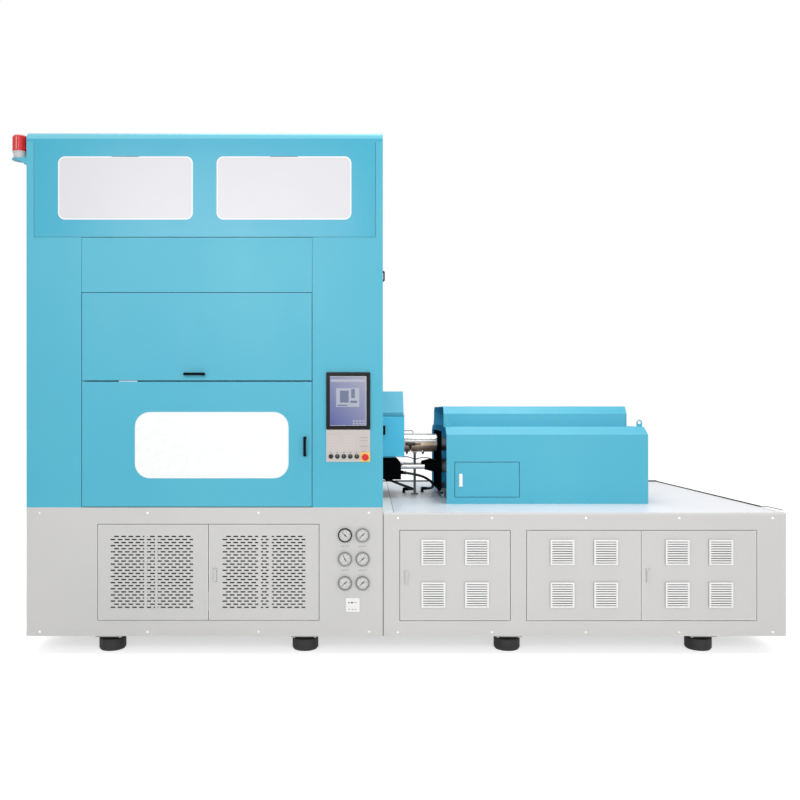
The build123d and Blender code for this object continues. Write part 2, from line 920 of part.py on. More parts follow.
def lower_door():
    x0, x1, z0, z1, y0, hinge = doors["lower_door"]
    pan = block(x0, x1, 0, door_depth, z0, z1)
    pan -= block(x0 + sheet, x1 - sheet, sheet, door_depth + 1, z0 + sheet, z1 - sheet)
    pan -= window_hole(*door_window_edges())
    x = pivot_x(x0, x1, hinge)
    low = rod_z(x, pivot_back, base_top - sheet - pin_reach, z0 + sheet, pin_radius)
    high = rod_z(x, pivot_back, z1 - sheet, (flap_bottom + door_top) / 2 + sheet / 2 + 1, pin_radius)
    handle_x = access_right - door_handle_inset
    handle = bow_handle(handle_x, door_bottom + door_handle_rise, door_handle_length, True, 0)
    return group([joined([pan, low, high]), handle])


def door_window():
    return window_pane(*door_window_edges())


# Base doors
def vent_door(name):
    x0, x1, z0, z1, y0, hinge = doors[name]
    pan = door_pan(*doors[name])
    middle = (x0 + x1) / 2
    slots_in_row = int((x1 - x0 - 2 * vent_slot_inset) / vent_slot_pitch)
    wires = []
    for row in range(vent_rows):
        stagger = vent_slot_pitch / 8 * (1 if row % 2 else -1)
        for i in range(slots_in_row):
            x = middle + (i - (slots_in_row - 1) / 2) * vent_slot_pitch + stagger
            z = vent_first_row + row * vent_row_pitch
            wires.append(Pos(x, z) * Rectangle(vent_slot_length, vent_slot_height))
    plane = Plane(origin=(0, sheet + 1, 0), x_dir=(1, 0, 0), z_dir=(0, -1, 0))
    slots = [extrude(plane * wire, sheet + 2) for wire in wires]
    pieces = [pan.cut(*slots)]
    if name == "vent_door_right":
        pieces.append(latch_mount(*latches["vent_latch"]))
    return group(pieces)


# One louvred grille: a frame with sloping blades, its back on the door's skin
def grille():
    half = grille_width / 2
    tall = grille_height / 2
    inside = half - grille_frame
    low = -tall + grille_frame
    frame = block(-half, half, -grille_proud, 0, -tall, tall)
    frame -= block(-inside, inside, -grille_proud - 1, 1, low, -low)
    pitch = (grille_height - 2 * grille_frame) / louvre_count
    blades = []
    for i in range(1, louvre_count):
        back = low + i * pitch + louvre_drop / 2
        front = back - louvre_drop
        blade = [(0, back), (-grille_proud, front), (-grille_proud, front - louvre_thickness),
                 (0, back - louvre_thickness)]
        blades.append(side_prism(blade, -inside - 1, inside + 1))
    return joined([frame] + blades)


def grille_centres(name):
    x0, x1 = doors[name][0], doors[name][1]
    middle = (x0 + x1) / 2
    half = grille_spacing / 2
    return [(x, z) for x in (middle - half, middle + half) for z in (grille_low_z, grille_high_z)]


def louvre_door(name):
    pan = door_pan(*doors[name])
    cuts = []
    for x, z in grille_centres(name):
        half = grille_width / 2 - grille_frame
        tall = grille_height / 2 - grille_frame
        cuts.append(block(x - half, x + half, -1, sheet + 1, z - tall, z + tall))
    pieces = [pan.cut(*cuts)]
    vent = grille()
    pieces += [Pos(x, 0, z) * vent for x, z in grille_centres(name)]
    latch = {"louvre_door_a": "louvre_latch_a", "louvre_door_c": "louvre_latch_c"}.get(name)
    if latch:
        pieces.append(latch_mount(*latches[latch]))
    return group(pieces)


# Operator panel
def control_x(index):
    return first_control_x + index * control_pitch


def operator_panel():
    right = bezel_left + bezel_width
    high = bezel_bottom + bezel_height
    bezel = front_slab(bezel_left, right, bezel_bottom, high, -bezel_proud, 0, bezel_corner)
    screen_left = bezel_left + (bezel_width - screen_width) / 2
    screen_low = bezel_bottom + (bezel_height - screen_height) / 2
    bezel -= block(screen_left, screen_left + screen_width, -bezel_proud - 1, -bezel_proud + screen_recess,
                   screen_low, screen_low + screen_height)
    face = -plate_proud
    plate = block(bezel_left, right, face, 0, plate_bottom, bezel_bottom)
    plate += block(right - stop_plate, right, face - sheet, face, plate_bottom, plate_bottom + stop_plate)
    for i in range(1 + selector_count):
        ring = rod_y(control_x(i), face - ring_proud, face, control_z, control_ring)
        plate += ring - rod_y(control_x(i), face - ring_proud - 1, face, control_z, control_cap)
    for i in range(1 + selector_count):
        plate -= rod_y(control_x(i), face - 1, 1, control_z, control_stem + fit)
    plate -= rod_y(stop_x, face - sheet - 1, 1, stop_z, control_stem + fit)
    return group([bezel, plate])


def start_button():
    face = -plate_proud
    x = control_x(0)
    cap = rod_y(x, face - cap_proud, face - button_travel - rest_gap, control_z, control_cap - fit)
    stem = rod_y(x, face - button_travel - rest_gap, stem_back, control_z, control_stem)
    return joined([cap, stem])


def selector(index):
    face = -plate_proud
    x = control_x(index)
    low, high = control_z - grip_reach, control_z + grip_reach
    cap = rod_y(x, face - cap_proud, face - rest_gap, control_z, control_cap - fit)
    grip = block(x - grip_half, x + grip_half, face - grip_proud, face - cap_proud, low, high)
    stem = rod_y(x, face - rest_gap, stem_back, control_z, control_stem)
    return joined([cap, grip, stem])


def emergency_stop():
    face = -plate_proud - sheet
    neck_start = face - stop_travel - rest_gap
    under = face - stop_height + stop_head
    head = rod_y(stop_x, face - stop_height, under, stop_z, stop_radius)
    head = fillet(head.edges().filter_by(GeomType.CIRCLE).group_by(Axis.Y)[0], stop_round)
    neck = rod_y(stop_x, under, neck_start, stop_z, stop_neck)
    stem = rod_y(stop_x, neck_start, stem_back, stop_z, control_stem)
    return joined([head, neck, stem])


# Gauges
def gauge_centres():
    return [(tower_width - x, z) for z in gauge_rows for x in gauge_columns]


def gauge_cases():
    cases = []
    for x, z in gauge_centres():
        case = rod_y(x, -gauge_proud, 0, z, gauge_radius)
        case -= rod_y(x, -gauge_proud - 1, -gauge_wall, z, gauge_radius - gauge_wall)
        case -= rod_y(x, -gauge_wall - 1, -1, z, needle_spindle + fit)
        cases.append(case)
    return group(cases)


# The needle's angle is clockwise from straight up, seen from the front
def needle(index):
    x, z = gauge_centres()[index]
    blade = [(-needle_half, -needle_tail), (needle_half, -needle_tail), (needle_tip, needle_length),
             (-needle_tip, needle_length)]
    flat = front_prism(blade, -gauge_wall - needle_front, -gauge_wall - needle_back)
    hub = rod_y(0, -gauge_wall - hub_front, -gauge_wall - rest_gap, 0, hub_radius)
    spindle = rod_y(0, -gauge_wall - rest_gap, -needle_seat, 0, needle_spindle)
    return Pos(x, 0, z) * Rot(0, needle_angles[index], 0) * joined([flat, hub, spindle])


def wall_socket():
    x = tower_width - socket_in
    half = socket_size / 2
    plate = front_slab(x - half, x + half, socket_z - half, socket_z + half, -socket_proud, 0, socket_corner)
    holes = [(dx, dz, socket_hole_short, socket_hole_long) for dx, dz in socket_upright_holes]
    holes.append((*socket_level_hole, socket_hole_long, socket_hole_short))
    for dx, dz, wide, tall in holes:
        left, low = x + dx - wide / 2, socket_z + dz - tall / 2
        plate -= block(left, left + wide, -socket_proud - 1, socket_hole_depth - socket_proud,
                       low, low + tall)
    return plate


# Beacon
def beacon():
    half = bracket_width / 2
    shelf = block(-bracket_reach, 0, beacon_y - half, beacon_y + half, bracket_top - sheet, bracket_top)
    shelf = fillet(shelf.edges().filter_by(Axis.Z).group_by(Axis.X)[0], bracket_round)
    web_left = bracket_web_in - bracket_reach
    outline = [(web_left, bracket_top - sheet), (web_left, bracket_top - bracket_web_end),
               (0, bracket_top - bracket_drop), (0, bracket_top - sheet)]
    web = front_prism(outline, beacon_y + half - sheet, beacon_y + half)
    web_front = Pos(0, -bracket_width + sheet, 0) * web
    flange = block(-sheet, 0, beacon_y - half, beacon_y + half,
                   bracket_top - bracket_drop, bracket_top - sheet)
    lens_low = bracket_top + beacon_base_height
    seat = rod_z(beacon_x, beacon_y, bracket_top, lens_low, beacon_base_radius)
    lens_top = lens_low + beacon_height
    profile = [(0, lens_low), (beacon_radius - lens_chamfer, lens_low), (beacon_radius, lens_low + lens_foot),
               (beacon_radius, lens_top - lens_crown), (beacon_radius - lens_crown_in, lens_top - lens_cap),
               (beacon_radius - lens_cap_in, lens_top), (0, lens_top)]
    lens = Pos(beacon_x, beacon_y, 0) * revolve(Plane.XZ * make_face(Polyline(*profile, close=True)), Axis.Z)
    return group([joined([shelf, web, web_front, flange]), seat, lens])


# Mould area
def tie_places():
    return [(table_x + a * tie_spread, table_y + b * tie_spread) for a in (-1, 1) for b in (-1, 1)]


def tie_bars():
    top = top_platen_top + tie_nut_height
    bars = []
    for x, y in tie_places():
        bar = rod_z(x, y, base_top, top + tie_end, tie_radius)
        foot = rod_z(x, y, base_top, base_top + tie_nut_height, tie_nut)
        seat = rod_z(x, y, top_platen_bottom - tie_nut_height, top_platen_bottom, tie_nut)
        nut = rod_z(x, y, top_platen_top, top, tie_nut)
        bars.append(joined([bar, foot, seat, nut]))
    return group(bars)


def cavity_row(x, z0, z1, radius):
    return [rod_z(x, y, z0, z1, radius) for y in cavity_ys]


def top_platen():
    half = platen_half
    low, high = top_platen_bottom, top_platen_top
    platen = block(table_x - half, table_x + half, table_y - half, table_y + half, low, high)
    holes = [rod_z(x, y, low - 1, high + 1, tie_radius + fit) for x, y in tie_places()]
    holes.append(rod_z(table_x, table_y, low - 1, high + 1, spindle_radius + fit))
    holes.append(rod_z(injection_x, table_y, low - 1, high + 1, ram_radius + fit))
    platen = platen.cut(*holes)
    cap = high + cylinder_height
    cylinder = rod_z(injection_x, table_y, high, cap, cylinder_outer)
    cylinder -= rod_z(injection_x, table_y, high - 1, cap - cylinder_cap, cylinder_inner)
    return group([platen, cylinder])


def core_platen():
    half = platen_half
    platen = block(table_x - half, table_x + half, table_y - half, table_y + half, platen_bottom, platen_top)
    low, high = platen_bottom - 1, platen_top + 1
    holes = [rod_z(x, y, low, high, tie_radius + fit) for x, y in tie_places()]
    holes.append(rod_z(table_x, table_y, low, high, spindle_radius + spindle_air))
    holes += cavity_row(blow_x, low, high, stretch_radius + fit)
    platen = platen.cut(*holes)
    cores = cavity_row(injection_x, platen_bottom - core_length, platen_bottom, core_radius)
    ram = rod_z(injection_x, table_y, platen_top, ram_top, ram_radius)
    piston = rod_z(injection_x, table_y, ram_top - piston_thick, ram_top, piston_radius)
    post_top = stretch_plate_z + stretch_plate_thick + stretch_post_end
    posts = [rod_z(blow_x, y, platen_top, post_top, stretch_post_radius) for y in stretch_post_ys()]
    return group([platen] + cores + [joined([ram, piston])] + posts)


def stretch_post_ys():
    return cavity_ys[0] - stretch_post_gap, cavity_ys[-1] + stretch_post_gap


def stretch_rods():
    low, high = stretch_plate_z, stretch_plate_z + stretch_plate_thick
    y0, y1 = cavity_ys[0] - stretch_plate_end, cavity_ys[-1] + stretch_plate_end
    plate = block(blow_x - stretch_plate_half, blow_x + stretch_plate_half, y0, y1, low, high)
    for y in stretch_post_ys():
        plate -= rod_z(blow_x, y, low - 1, high + 1, stretch_post_radius + fit)
    return joined([plate] + cavity_row(blow_x, stretch_bottom, low, stretch_radius))


def turntable():
    top = table_bottom + table_thick
    disc = rod_z(table_x, table_y, table_bottom, top, table_radius)
    bores = []
    for quarter in range(4):
        turn = Pos(table_x, table_y, 0) * Rot(0, 0, 90 * quarter) * Pos(-table_x, -table_y, 0)
        bores += [turn * bore for bore in cavity_row(injection_x, table_bottom - 1, top + 1, neck_radius)]
    disc = disc.cut(*bores)
    seat = top_platen_top + rest_gap
    spindle = rod_z(table_x, table_y, top, seat + collar_height, spindle_radius)
    collar = rod_z(table_x, table_y, seat, seat + collar_height, spindle_collar)
    return joined([disc, spindle, collar])


# A bottle's outline, its neck up to the mould's top, turned about its own axis
def bottle_form(x, y):
    low = mould_top - bottle_height
    profile = [(0, low), (bottle_radius - bottle_foot, low), (bottle_radius, low + bottle_foot_rise),
               (bottle_radius, mould_top - bottle_shoulder), (bottle_neck, mould_top - bottle_neck_height),
               (bottle_neck, mould_top + 1), (0, mould_top + 1)]
    return Pos(x, y, 0) * revolve(Plane.XZ * make_face(Polyline(*profile, close=True)), Axis.Z)


def blow_mould(side):
    near = blow_x + side * mould_open
    far = near + side * mould_width
    y0 = table_y - mould_length / 2
    half = block(min(near, far), max(near, far), y0, y0 + mould_length, mould_bottom + rest_gap, mould_top)
    half = half.cut(*[bottle_form(near, y) for y in cavity_ys])
    middle = (mould_bottom + mould_top) / 2
    end = far + side * (slide_radius + 2 * mould_open + ram_engaged)
    ram = rod_x(min(far, end), max(far, end), table_y, middle, slide_radius)
    return joined([half, ram])


# The cast stand of one station: a plate on two webs
def station_stand(x0, x1, y0, y1):
    plate = block(x0, x1, y0, y1, mould_bottom - station_plate, mould_bottom)
    webs = [block(x0, x1, y, y + bed_web, base_top, mould_bottom - station_plate) for y in (y0, y1 - bed_web)]
    return joined([plate] + webs)


def blow_cylinder(side):
    far = blow_x + side * (mould_open + mould_width)
    start = far + side * (mould_open + slide_radius)
    end = start + side * blow_cylinder_length
    middle = (mould_bottom + mould_top) / 2
    low, high = min(start, end), max(start, end)
    bore = [start - side, end - side * blow_cylinder_wall]
    body = rod_x(low, high, table_y, middle, blow_cylinder_radius)
    body -= rod_x(min(bore), max(bore), table_y, middle, slide_radius + fit)
    top = middle - blow_cylinder_radius + pedestal_lap
    pedestal = block(low + pedestal_in, high - pedestal_in, table_y - pedestal_half, table_y + pedestal_half,
                     mould_bottom, top)
    pedestal -= rod_x(low, high, table_y, middle, blow_cylinder_radius - pedestal_seat)
    return joined([body, pedestal])


def mould_stations():
    reach = blow_reach + blow_cylinder_length
    y0 = table_y - runner_length / 2
    blow = station_stand(blow_x - reach, blow_x + reach, y0, y0 + runner_length)
    left = injection_x - runner_width / 2
    inject = station_stand(left, left + runner_width, y0, y0 + runner_length)
    right, y1 = left + runner_width, y0 + runner_length
    runner_top = mould_bottom + runner_height
    runner = block(left, right, y0, y1, mould_bottom, runner_top)
    mould = block(left, right, y0, y1, runner_top, mould_top)
    cavity_low = platen_bottom - core_length - platen_travel - core_air
    mould = mould.cut(*cavity_row(injection_x, cavity_low, mould_top + 1, neck_radius))
    cylinders = [blow_cylinder(side) for side in (-1, 1)]
    return group([blow, inject, runner, mould] + cylinders)


# Nozzle guard
def guard_lugs():
    right = guard_right + panel_gap + guard_overlap + guard_lug_side
    deep = guard_front + rim_depth + guard_lug_back
    top = block(tower_width, right, guard_front, deep, guard_split, guard_split + sheet)
    low = guard_bottom - panel_gap - sheet
    bottom = block(tower_width, right, guard_front, deep + guard_sill, low, low + sheet)
    return [top, bottom]


def nozzle_guard():
    wrap = [(guard_front, guard_split), (guard_front, guard_split + guard_sill),
            (guard_front + guard_slope, guard_top), (guard_back, guard_top), (guard_back, guard_bottom)]
    skin = side_prism(sheet_outline(wrap, sheet), tower_width, guard_right)
    start = guard_front + door_depth + guard_return
    low = guard_bottom - panel_gap - sheet
    wall = [(start, low), (start, guard_split + 1), (guard_front, guard_split + 1)]
    wall += wrap[1:4] + [(guard_back, low)]
    side = side_prism(wall, guard_right - sheet, guard_right)
    guard = joined([skin, side] + guard_lugs())
    guard -= rod_x(guard_right - sheet - 1, guard_right + 1, table_y, barrel_z, guard_hole)
    return guard.cut(*pin_holes(*doors["guard_door"]))


def guard_door():
    x0, x1, z0, z1, y0, hinge = doors["guard_door"]
    handle = bow_handle(x0 + guard_handle_in, z1 - guard_handle_drop, guard_handle_length, True, guard_front)
    return group([door_pan(*doors["guard_door"]), handle])


def nozzle_block():
    x0, x1 = tower_width, tower_width + block_width
    low = block_top - block_height
    outline = [(x0, low), (x1, low), (x1, block_top - block_chamfer), (x1 - block_chamfer, block_top),
               (x0, block_top)]
    body = front_prism(outline, table_y - block_half, table_y + block_half)
    rod_ys = (table_y - rail_spread, table_y + rail_spread)
    rods = [rod_x(x1, x1 + rod_length, y, rod_height, rod_radius) for y in rod_ys]
    fittings = []
    for points in (hose_front_points, hose_rear_points):
        start, after = Vector(*points[0]), Vector(*points[1])
        back = (start - after).normalized()
        fitting = Cylinder(hose_fitting, hose_fitting_length, align=on_end)
        fittings.append(Plane(origin=start, z_dir=back) * fitting)
    return group([joined([body] + fittings)] + rods)


# Injection unit
def barrel():
    tip = injection_x + runner_width / 2 + rest_gap
    profile = [(tip, nozzle_bore), (tip, nozzle_radius),
               (barrel_left - barrel_taper, barrel_radius - barrel_step), (barrel_left, barrel_radius),
               (barrel_right, barrel_radius), (barrel_right, barrel_bore),
               (barrel_left - bore_end, barrel_bore), (barrel_left - bore_cone, nozzle_bore)]
    plane = Plane(origin=(0, table_y, barrel_z), x_dir=(1, 0, 0), z_dir=(0, -1, 0))
    return revolve(plane * make_face(Polyline(*profile, close=True)), Axis((0, table_y, barrel_z), (1, 0, 0)))


def heater_bands():
    bands = []
    for i in range(band_count):
        left = barrel_left + band_start + i * (band_width + band_gap)
        band = rod_x(left, left + band_width, table_y, barrel_z, band_radius)
        bands.append(band - rod_x(left - 1, left + band_width + 1, table_y, barrel_z, barrel_radius + fit))
    return group(bands)


def screw():
    root = screw_core
    left = barrel_left
    flight_end = barrel_right - 2 * screw_pitch
    shaft_end = front_plate_x + carriage_length + rear_plate_thick - screw_end_in
    core = rod_x(left, flight_end, table_y, barrel_z, root)
    shaft = rod_x(flight_end, barrel_right - rest_gap, table_y, barrel_z, barrel_bore - fit)
    drive = rod_x(barrel_right - rest_gap, shaft_end, table_y, barrel_z, screw_shaft)
    helix = Helix(pitch=screw_pitch, height=flight_end - left - screw_pitch, radius=root)
    land = barrel_bore - fit - root
    start = Plane(origin=helix @ 0, x_dir=(1, 0, 0), z_dir=helix % 0)
    section = start * Pos(land / 2 - 1, 0) * Rectangle(land + 2, screw_land)
    flight = sweep(section, path=helix, is_frenet=True)
    flight = Pos(left + screw_pitch, table_y, barrel_z) * Rot(0, 90, 0) * flight
    return joined([core, shaft, drive, flight])


def injection_carriage():
    x0 = front_plate_x
    x1 = x0 + carriage_length + rear_plate_thick
    y0, y1 = table_y - carriage_width / 2, table_y + carriage_width / 2
    front = block(x0, x0 + front_plate_thick, y0, y1, carriage_bottom, carriage_top)
    rear = block(x1 - rear_plate_thick, x1, y0, y1, carriage_bottom, carriage_top)
    floor = block(x0, x1, y0, y1, carriage_bottom, carriage_bottom + carriage_floor)
    frame = joined([front, rear, floor])
    frame -= rod_x(x0 - 1, x0 + front_plate_thick + 1, table_y, barrel_z, barrel_radius + fit)
    frame -= rod_x(x1 - rear_plate_thick - 1, x1 + 1, table_y, barrel_z, screw_shaft + fit)
    pieces = []
    for side in (-1, 1):
        y = table_y + side * rail_spread
        frame -= rod_x(x0 - 1, x0 + front_plate_thick + 1, y, rod_height, rod_radius + fit)
        root = thrust_cylinder - gland_step
        nose = [(x0 - gland_length, rod_radius + fit), (x0 - gland_length, gland_nose),
                (x0 - gland_straight, root), (x0, root), (x0, rod_radius + fit)]
        plane = Plane(origin=(0, y, rod_height), x_dir=(1, 0, 0), z_dir=(0, -1, 0))
        axis = Axis((0, y, rod_height), (1, 0, 0))
        pieces.append(revolve(plane * make_face(Polyline(*nose, close=True)), axis))
        tube = rod_x(x0 + front_plate_thick, x1 - rear_plate_thick, y, rod_height, thrust_cylinder)
        pieces.append(tube - rod_x(x0, x1 + 1, y, rod_height, thrust_cylinder - thrust_wall))
        half = rail_width / 2 + rest_gap
        for x in (x0 + front_plate_thick + slider_in, x1 - rear_plate_thick - slider_in - slider_length):
            end = x + slider_length
            slider = block(x, end, y - slider_half, y + slider_half, deck_top + slider_air, carriage_bottom)
            slider -= block(x - 1, end + 1, y - half, y + half, deck_top, deck_top + rail_height + rest_gap)
            pieces.append(slider)
    drive = rod_x(x1, x1 + drive_length, table_y, barrel_z, drive_radius)
    return group([frame, drive] + pieces)


# Injection cover
def cover_profile(low):
    far = 2 * table_y - cover_front
    return [(cover_front, low), (cover_front, cover_shoulder_z),
            (cover_front + cover_shelf_in, cover_shelf_z), (far - cover_shelf_in, cover_shelf_z),
            (far, cover_shoulder_z), (far, low)]


def hump_profile():
    far = 2 * table_y - hump_front
    low = cover_shelf_z
    return [(hump_front, low), (hump_front, hump_edge_z), (hump_front + hump_chamfer, hump_top_z),
            (far - hump_chamfer, hump_top_z), (far, hump_edge_z), (far, low)]


def lifting_eye(x, y):
    low = cover_shelf_z
    half = eye_width / 2
    arch = eye_height - half
    bar = block(x - half, x + half, y - eye_thick / 2, y + eye_thick / 2, low, low + arch)
    eye = bar + rod_y(x, y - eye_thick / 2, y + eye_thick / 2, low + arch, half)
    hole = rod_y(x, y - eye_thick, y + eye_thick, low + arch, half - eye_bar)
    return eye - hole


def injection_cover():
    x0, x1 = cover_x, cover_x + cover_length
    hump_end = x0 + hump_length
    opening_end = hump_end - sheet
    far = 2 * table_y - cover_front
    front, front_slope, shelf, rear_slope, rear = sheet_panels(cover_profile(deck_top), x0, x1)
    d0, d1 = x0 + cover_door_left, x0 + cover_door_left + cover_door_width
    front += rim(d0, d1, cover_door_bottom, cover_door_top, cover_front, sheet)
    front -= block(d0, d1, cover_front - 1, cover_front + rim_depth + 1, cover_door_bottom, cover_door_top)
    front = front.cut(*pin_holes(*doors["cover_door"]))
    low, high = cover_shelf_z - sheet - 1, cover_shelf_z + 1
    strip = hump_front + sheet
    front_strip = shelf & block(x0, opening_end, cover_front, strip, low, high)
    rear_strip = shelf & block(x0, opening_end, 2 * table_y - strip, far, low, high)
    end_strip = shelf & block(opening_end, x1, cover_front, far, low, high)
    panels = [front, front_slope, front_strip, rear_strip, end_strip, rear_slope, rear]
    panels.append(side_prism(moved_line(cover_profile(deck_top), sheet), x1 - sheet, x1))
    panels += sheet_panels(hump_profile(), x0, hump_end)
    panels.append(side_prism(moved_line(hump_profile(), sheet), opening_end, hump_end))
    eye_y = cover_front + eye_in_y
    eyes = []
    for x in (x0 + eye_in_left, x1 - eye_in_right):
        eyes += [lifting_eye(x, y) for y in (eye_y, 2 * table_y - eye_y)]
    return group(panels + eyes)


def cover_door():
    return group([door_pan(*doors["cover_door"]), latch_mount(*latches["cover_latch"])])


# A free hose: straight runs joined by the largest arcs that they allow
def hose(points):
    runs = [Vector(*b) - Vector(*a) for a, b in zip(points, points[1:])]
    radii = []
    for before, after in zip(runs, runs[1:]):
        turn = math.radians(before.get_angle(after))
        radii.append(hose_ease * min(before.length, after.length) / math.tan(turn / 2))
    path = FilletPolyline(*points, radius=radii)
    print("hose bends", [round(r) for r in radii], "length", round(path.length))
    return sweep(Plane(origin=path @ 0, z_dir=path % 0) * Circle(hose_radius), path=path)


# What the base holds: the hydraulic power pack and the electrical back plate
def hydraulic_unit():
    floor = foot_height + foot_plate_thick + beam
    x0, x1 = foot_xs[0] - beam / 2, foot_xs[1] + beam / 2
    back = depth - tank_rear
    under, top = floor + tank_height, floor + tank_height + lid_thick
    axis = top + motor_lift

    def along(share):
        return x0 + share * (x1 - x0)

    tank = block(x0, x1, tank_front, back, floor, under)
    lid = block(x0 + lid_inset, x1 - lid_inset, tank_front + lid_inset, back - lid_inset, under, top)
    motor = rod_x(along(motor_share[0]), along(motor_share[1]), motor_y, axis, motor_radius)
    cradle = block(along(cradle_share[0]), along(cradle_share[1]),
                   motor_y - cradle_half, motor_y + cradle_half, top, top + cradle_height)
    pump = rod_x(along(motor_share[1]), along(pump_share), motor_y, axis, pump_radius)
    manifold = block(along(manifold_share[0]), along(manifold_share[1]), manifold_front,
                     manifold_front + manifold_depth, top, top + manifold_height)
    return group([tank, lid, joined([motor, cradle, pump]), manifold])


def control_rack():
    floor = foot_height + foot_plate_thick + beam
    x0, x1 = foot_xs[2] - beam / 2, foot_xs[3] + beam / 2
    pieces = [block(x0, x1, rack_front, rack_front + rack_sheet, floor, floor + rack_height)]
    for i in range(int((x1 - x0 - module_in) / module_pitch)):
        left = x0 + module_in + i * module_pitch
        for wide, deep, low, high in (drive_module, relay_module):
            pieces.append(block(left, left + wide, rack_front - deep, rack_front, floor + low, floor + high))
    return group(pieces)


nodes = {
    "base_frame": base_frame(),
    "levelling_feet": levelling_feet(),
    "tower_base_panels": tower_base_panels(),
    "deck_base_panels": deck_base_panels(),
    "deck_plate": deck_plate(),
    "hydraulic_unit": hydraulic_unit(),
    "control_rack": control_rack(),
    "tower_left_cover": tower_left_cover(),
    "tower_right_cover": tower_right_cover(),
    "tower_rear_panels": tower_rear_panels(),
    "roof_cover": roof_cover(),
    "header_windows": header_windows(),
    "upper_panel": upper_panel(),
    "upper_flap": upper_flap(),
    "lower_door": lower_door(),
    "door_window": door_window(),
    "operator_panel": operator_panel(),
    "start_button": start_button(),
    "emergency_stop": emergency_stop(),
    "gauge_cases": gauge_cases(),
    "wall_socket": wall_socket(),
    "beacon": beacon(),
    "tie_bars": tie_bars(),
    "top_platen": top_platen(),
    "core_platen": core_platen(),
    "stretch_rods": stretch_rods(),
    "turntable": turntable(),
    "blow_mould_outer": blow_mould(-1),
    "blow_mould_inner": blow_mould(1),
    "mould_stations": mould_stations(),
    "nozzle_guard": nozzle_guard(),
    "guard_door": guard_door(),
    "nozzle_block": nozzle_block(),
    "barrel": barrel(),
    "heater_bands": heater_bands(),
    "screw": screw(),
    "injection_carriage": injection_carriage(),
    "injection_cover": injection_cover(),
    "cover_door": cover_door(),
    "hose_front": hose(hose_front_points),
    "hose_rear": hose(hose_rear_points),
}
for name in ("vent_door_left", "vent_door_right"):
    nodes[name] = vent_door(name)
for name in ("louvre_door_a", "louvre_door_b", "louvre_door_c"):
    nodes[name] = louvre_door(name)
for name, place in latches.items():
    nodes[name] = latch_handle(*place)
for index in range(1, 1 + selector_count):
    nodes[f"selector_{index}"] = selector(index)
for index in range(len(gauge_centres())):
    nodes[f"gauge_needle_{index + 1}"] = needle(index)

# The finished part's origin is the middle of the underside of its box
box = Compound(children=[s for shape in nodes.values() for s in shape.solids()]).bounding_box()
shift = Vector(-(box.min.X + box.max.X) / 2, -(box.min.Y + box.max.Y) / 2, -box.min.Z)

os.makedirs("parts", exist_ok=True)
for name, shape in nodes.items():
    placed = [s.moved(Location(shift)) for s in shape.solids()]
    export_step(placed[0] if len(placed) == 1 else Compound(children=placed), f"parts/{name}.step")
print(len(nodes), "nodes, moved by", shift, "overall", box.size)
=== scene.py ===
import bpy
import bmesh
import math
from mathutils import Matrix, Vector


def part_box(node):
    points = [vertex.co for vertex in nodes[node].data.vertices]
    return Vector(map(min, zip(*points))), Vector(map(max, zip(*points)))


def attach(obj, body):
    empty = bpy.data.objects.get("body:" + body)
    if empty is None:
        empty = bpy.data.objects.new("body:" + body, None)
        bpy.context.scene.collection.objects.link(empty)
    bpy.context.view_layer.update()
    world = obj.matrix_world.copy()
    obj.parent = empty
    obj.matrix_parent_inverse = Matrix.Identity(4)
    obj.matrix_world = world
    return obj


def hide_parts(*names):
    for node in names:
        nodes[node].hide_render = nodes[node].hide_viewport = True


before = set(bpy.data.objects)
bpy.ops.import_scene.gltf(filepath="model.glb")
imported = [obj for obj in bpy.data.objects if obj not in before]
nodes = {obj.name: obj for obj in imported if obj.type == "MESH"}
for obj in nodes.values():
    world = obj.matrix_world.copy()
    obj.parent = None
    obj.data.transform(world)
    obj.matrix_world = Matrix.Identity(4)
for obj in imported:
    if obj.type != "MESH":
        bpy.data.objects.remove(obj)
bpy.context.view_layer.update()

# Looks of an injection stretch blow moulding machine, built around its CAD frame.
# Sizes are in millimetres from the tower's left side, its front sheet and the floor, where no note says metres.
towerCorner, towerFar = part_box("tower_base_panels")
towerWidth = (towerFar.x - towerCorner.x) * 1000
machineWidth = (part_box("deck_base_panels")[1].x - towerCorner.x) * 1000
deckTop = 880
quarterTurn = 1.5708
louvreDoors = ("louvre_door_a", "louvre_door_b", "louvre_door_c")


def spot(x, y, z):
    return Vector((towerCorner.x + x / 1000, towerCorner.y + y / 1000, z / 1000))


def srgb(red, green, blue):
    channels = []
    for value in (red, green, blue):
        value = value / 255
        channels.append(value / 12.92 if value <= 0.04045 else ((value + 0.055) / 1.055) ** 2.4)
    return (*channels, 1.0)


# Objects and their meshes
def linked(name, data):
    thing = bpy.data.objects.new(name, data)
    bpy.context.scene.collection.objects.link(thing)
    return thing


def newPiece(name, mesh, material, body):
    piece = linked(name, mesh)
    if not mesh.materials:
        mesh.materials.append(material)
    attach(piece, body)
    return piece


def meshFrom(name, form, smooth=False):
    bmesh.ops.recalc_face_normals(form, faces=form.faces)
    mesh = bpy.data.meshes.new(name)
    form.to_mesh(mesh)
    form.free()
    mesh.polygons.foreach_set("use_smooth", [smooth] * len(mesh.polygons))
    return mesh


def formPiece(name, form, material, body, smooth=False):
    return newPiece(name, meshFrom(name, form, smooth), material, body)


# A piece of eased plates, each from its lowest to its highest corner
def platePiece(name, plates, ease, material, body):
    form = bmesh.new()
    for low, high in plates:
        addPlate(form, low, high, ease)
    formPiece(name, form, material, body)


# The plain mesh that a curve, a text or a seed with its node tree comes to
def solidOf(holder):
    bpy.context.view_layer.update()
    mesh = bpy.data.meshes.new_from_object(holder.evaluated_get(bpy.context.evaluated_depsgraph_get()))
    holder.modifiers.clear()
    bpy.data.objects.remove(holder)
    return mesh


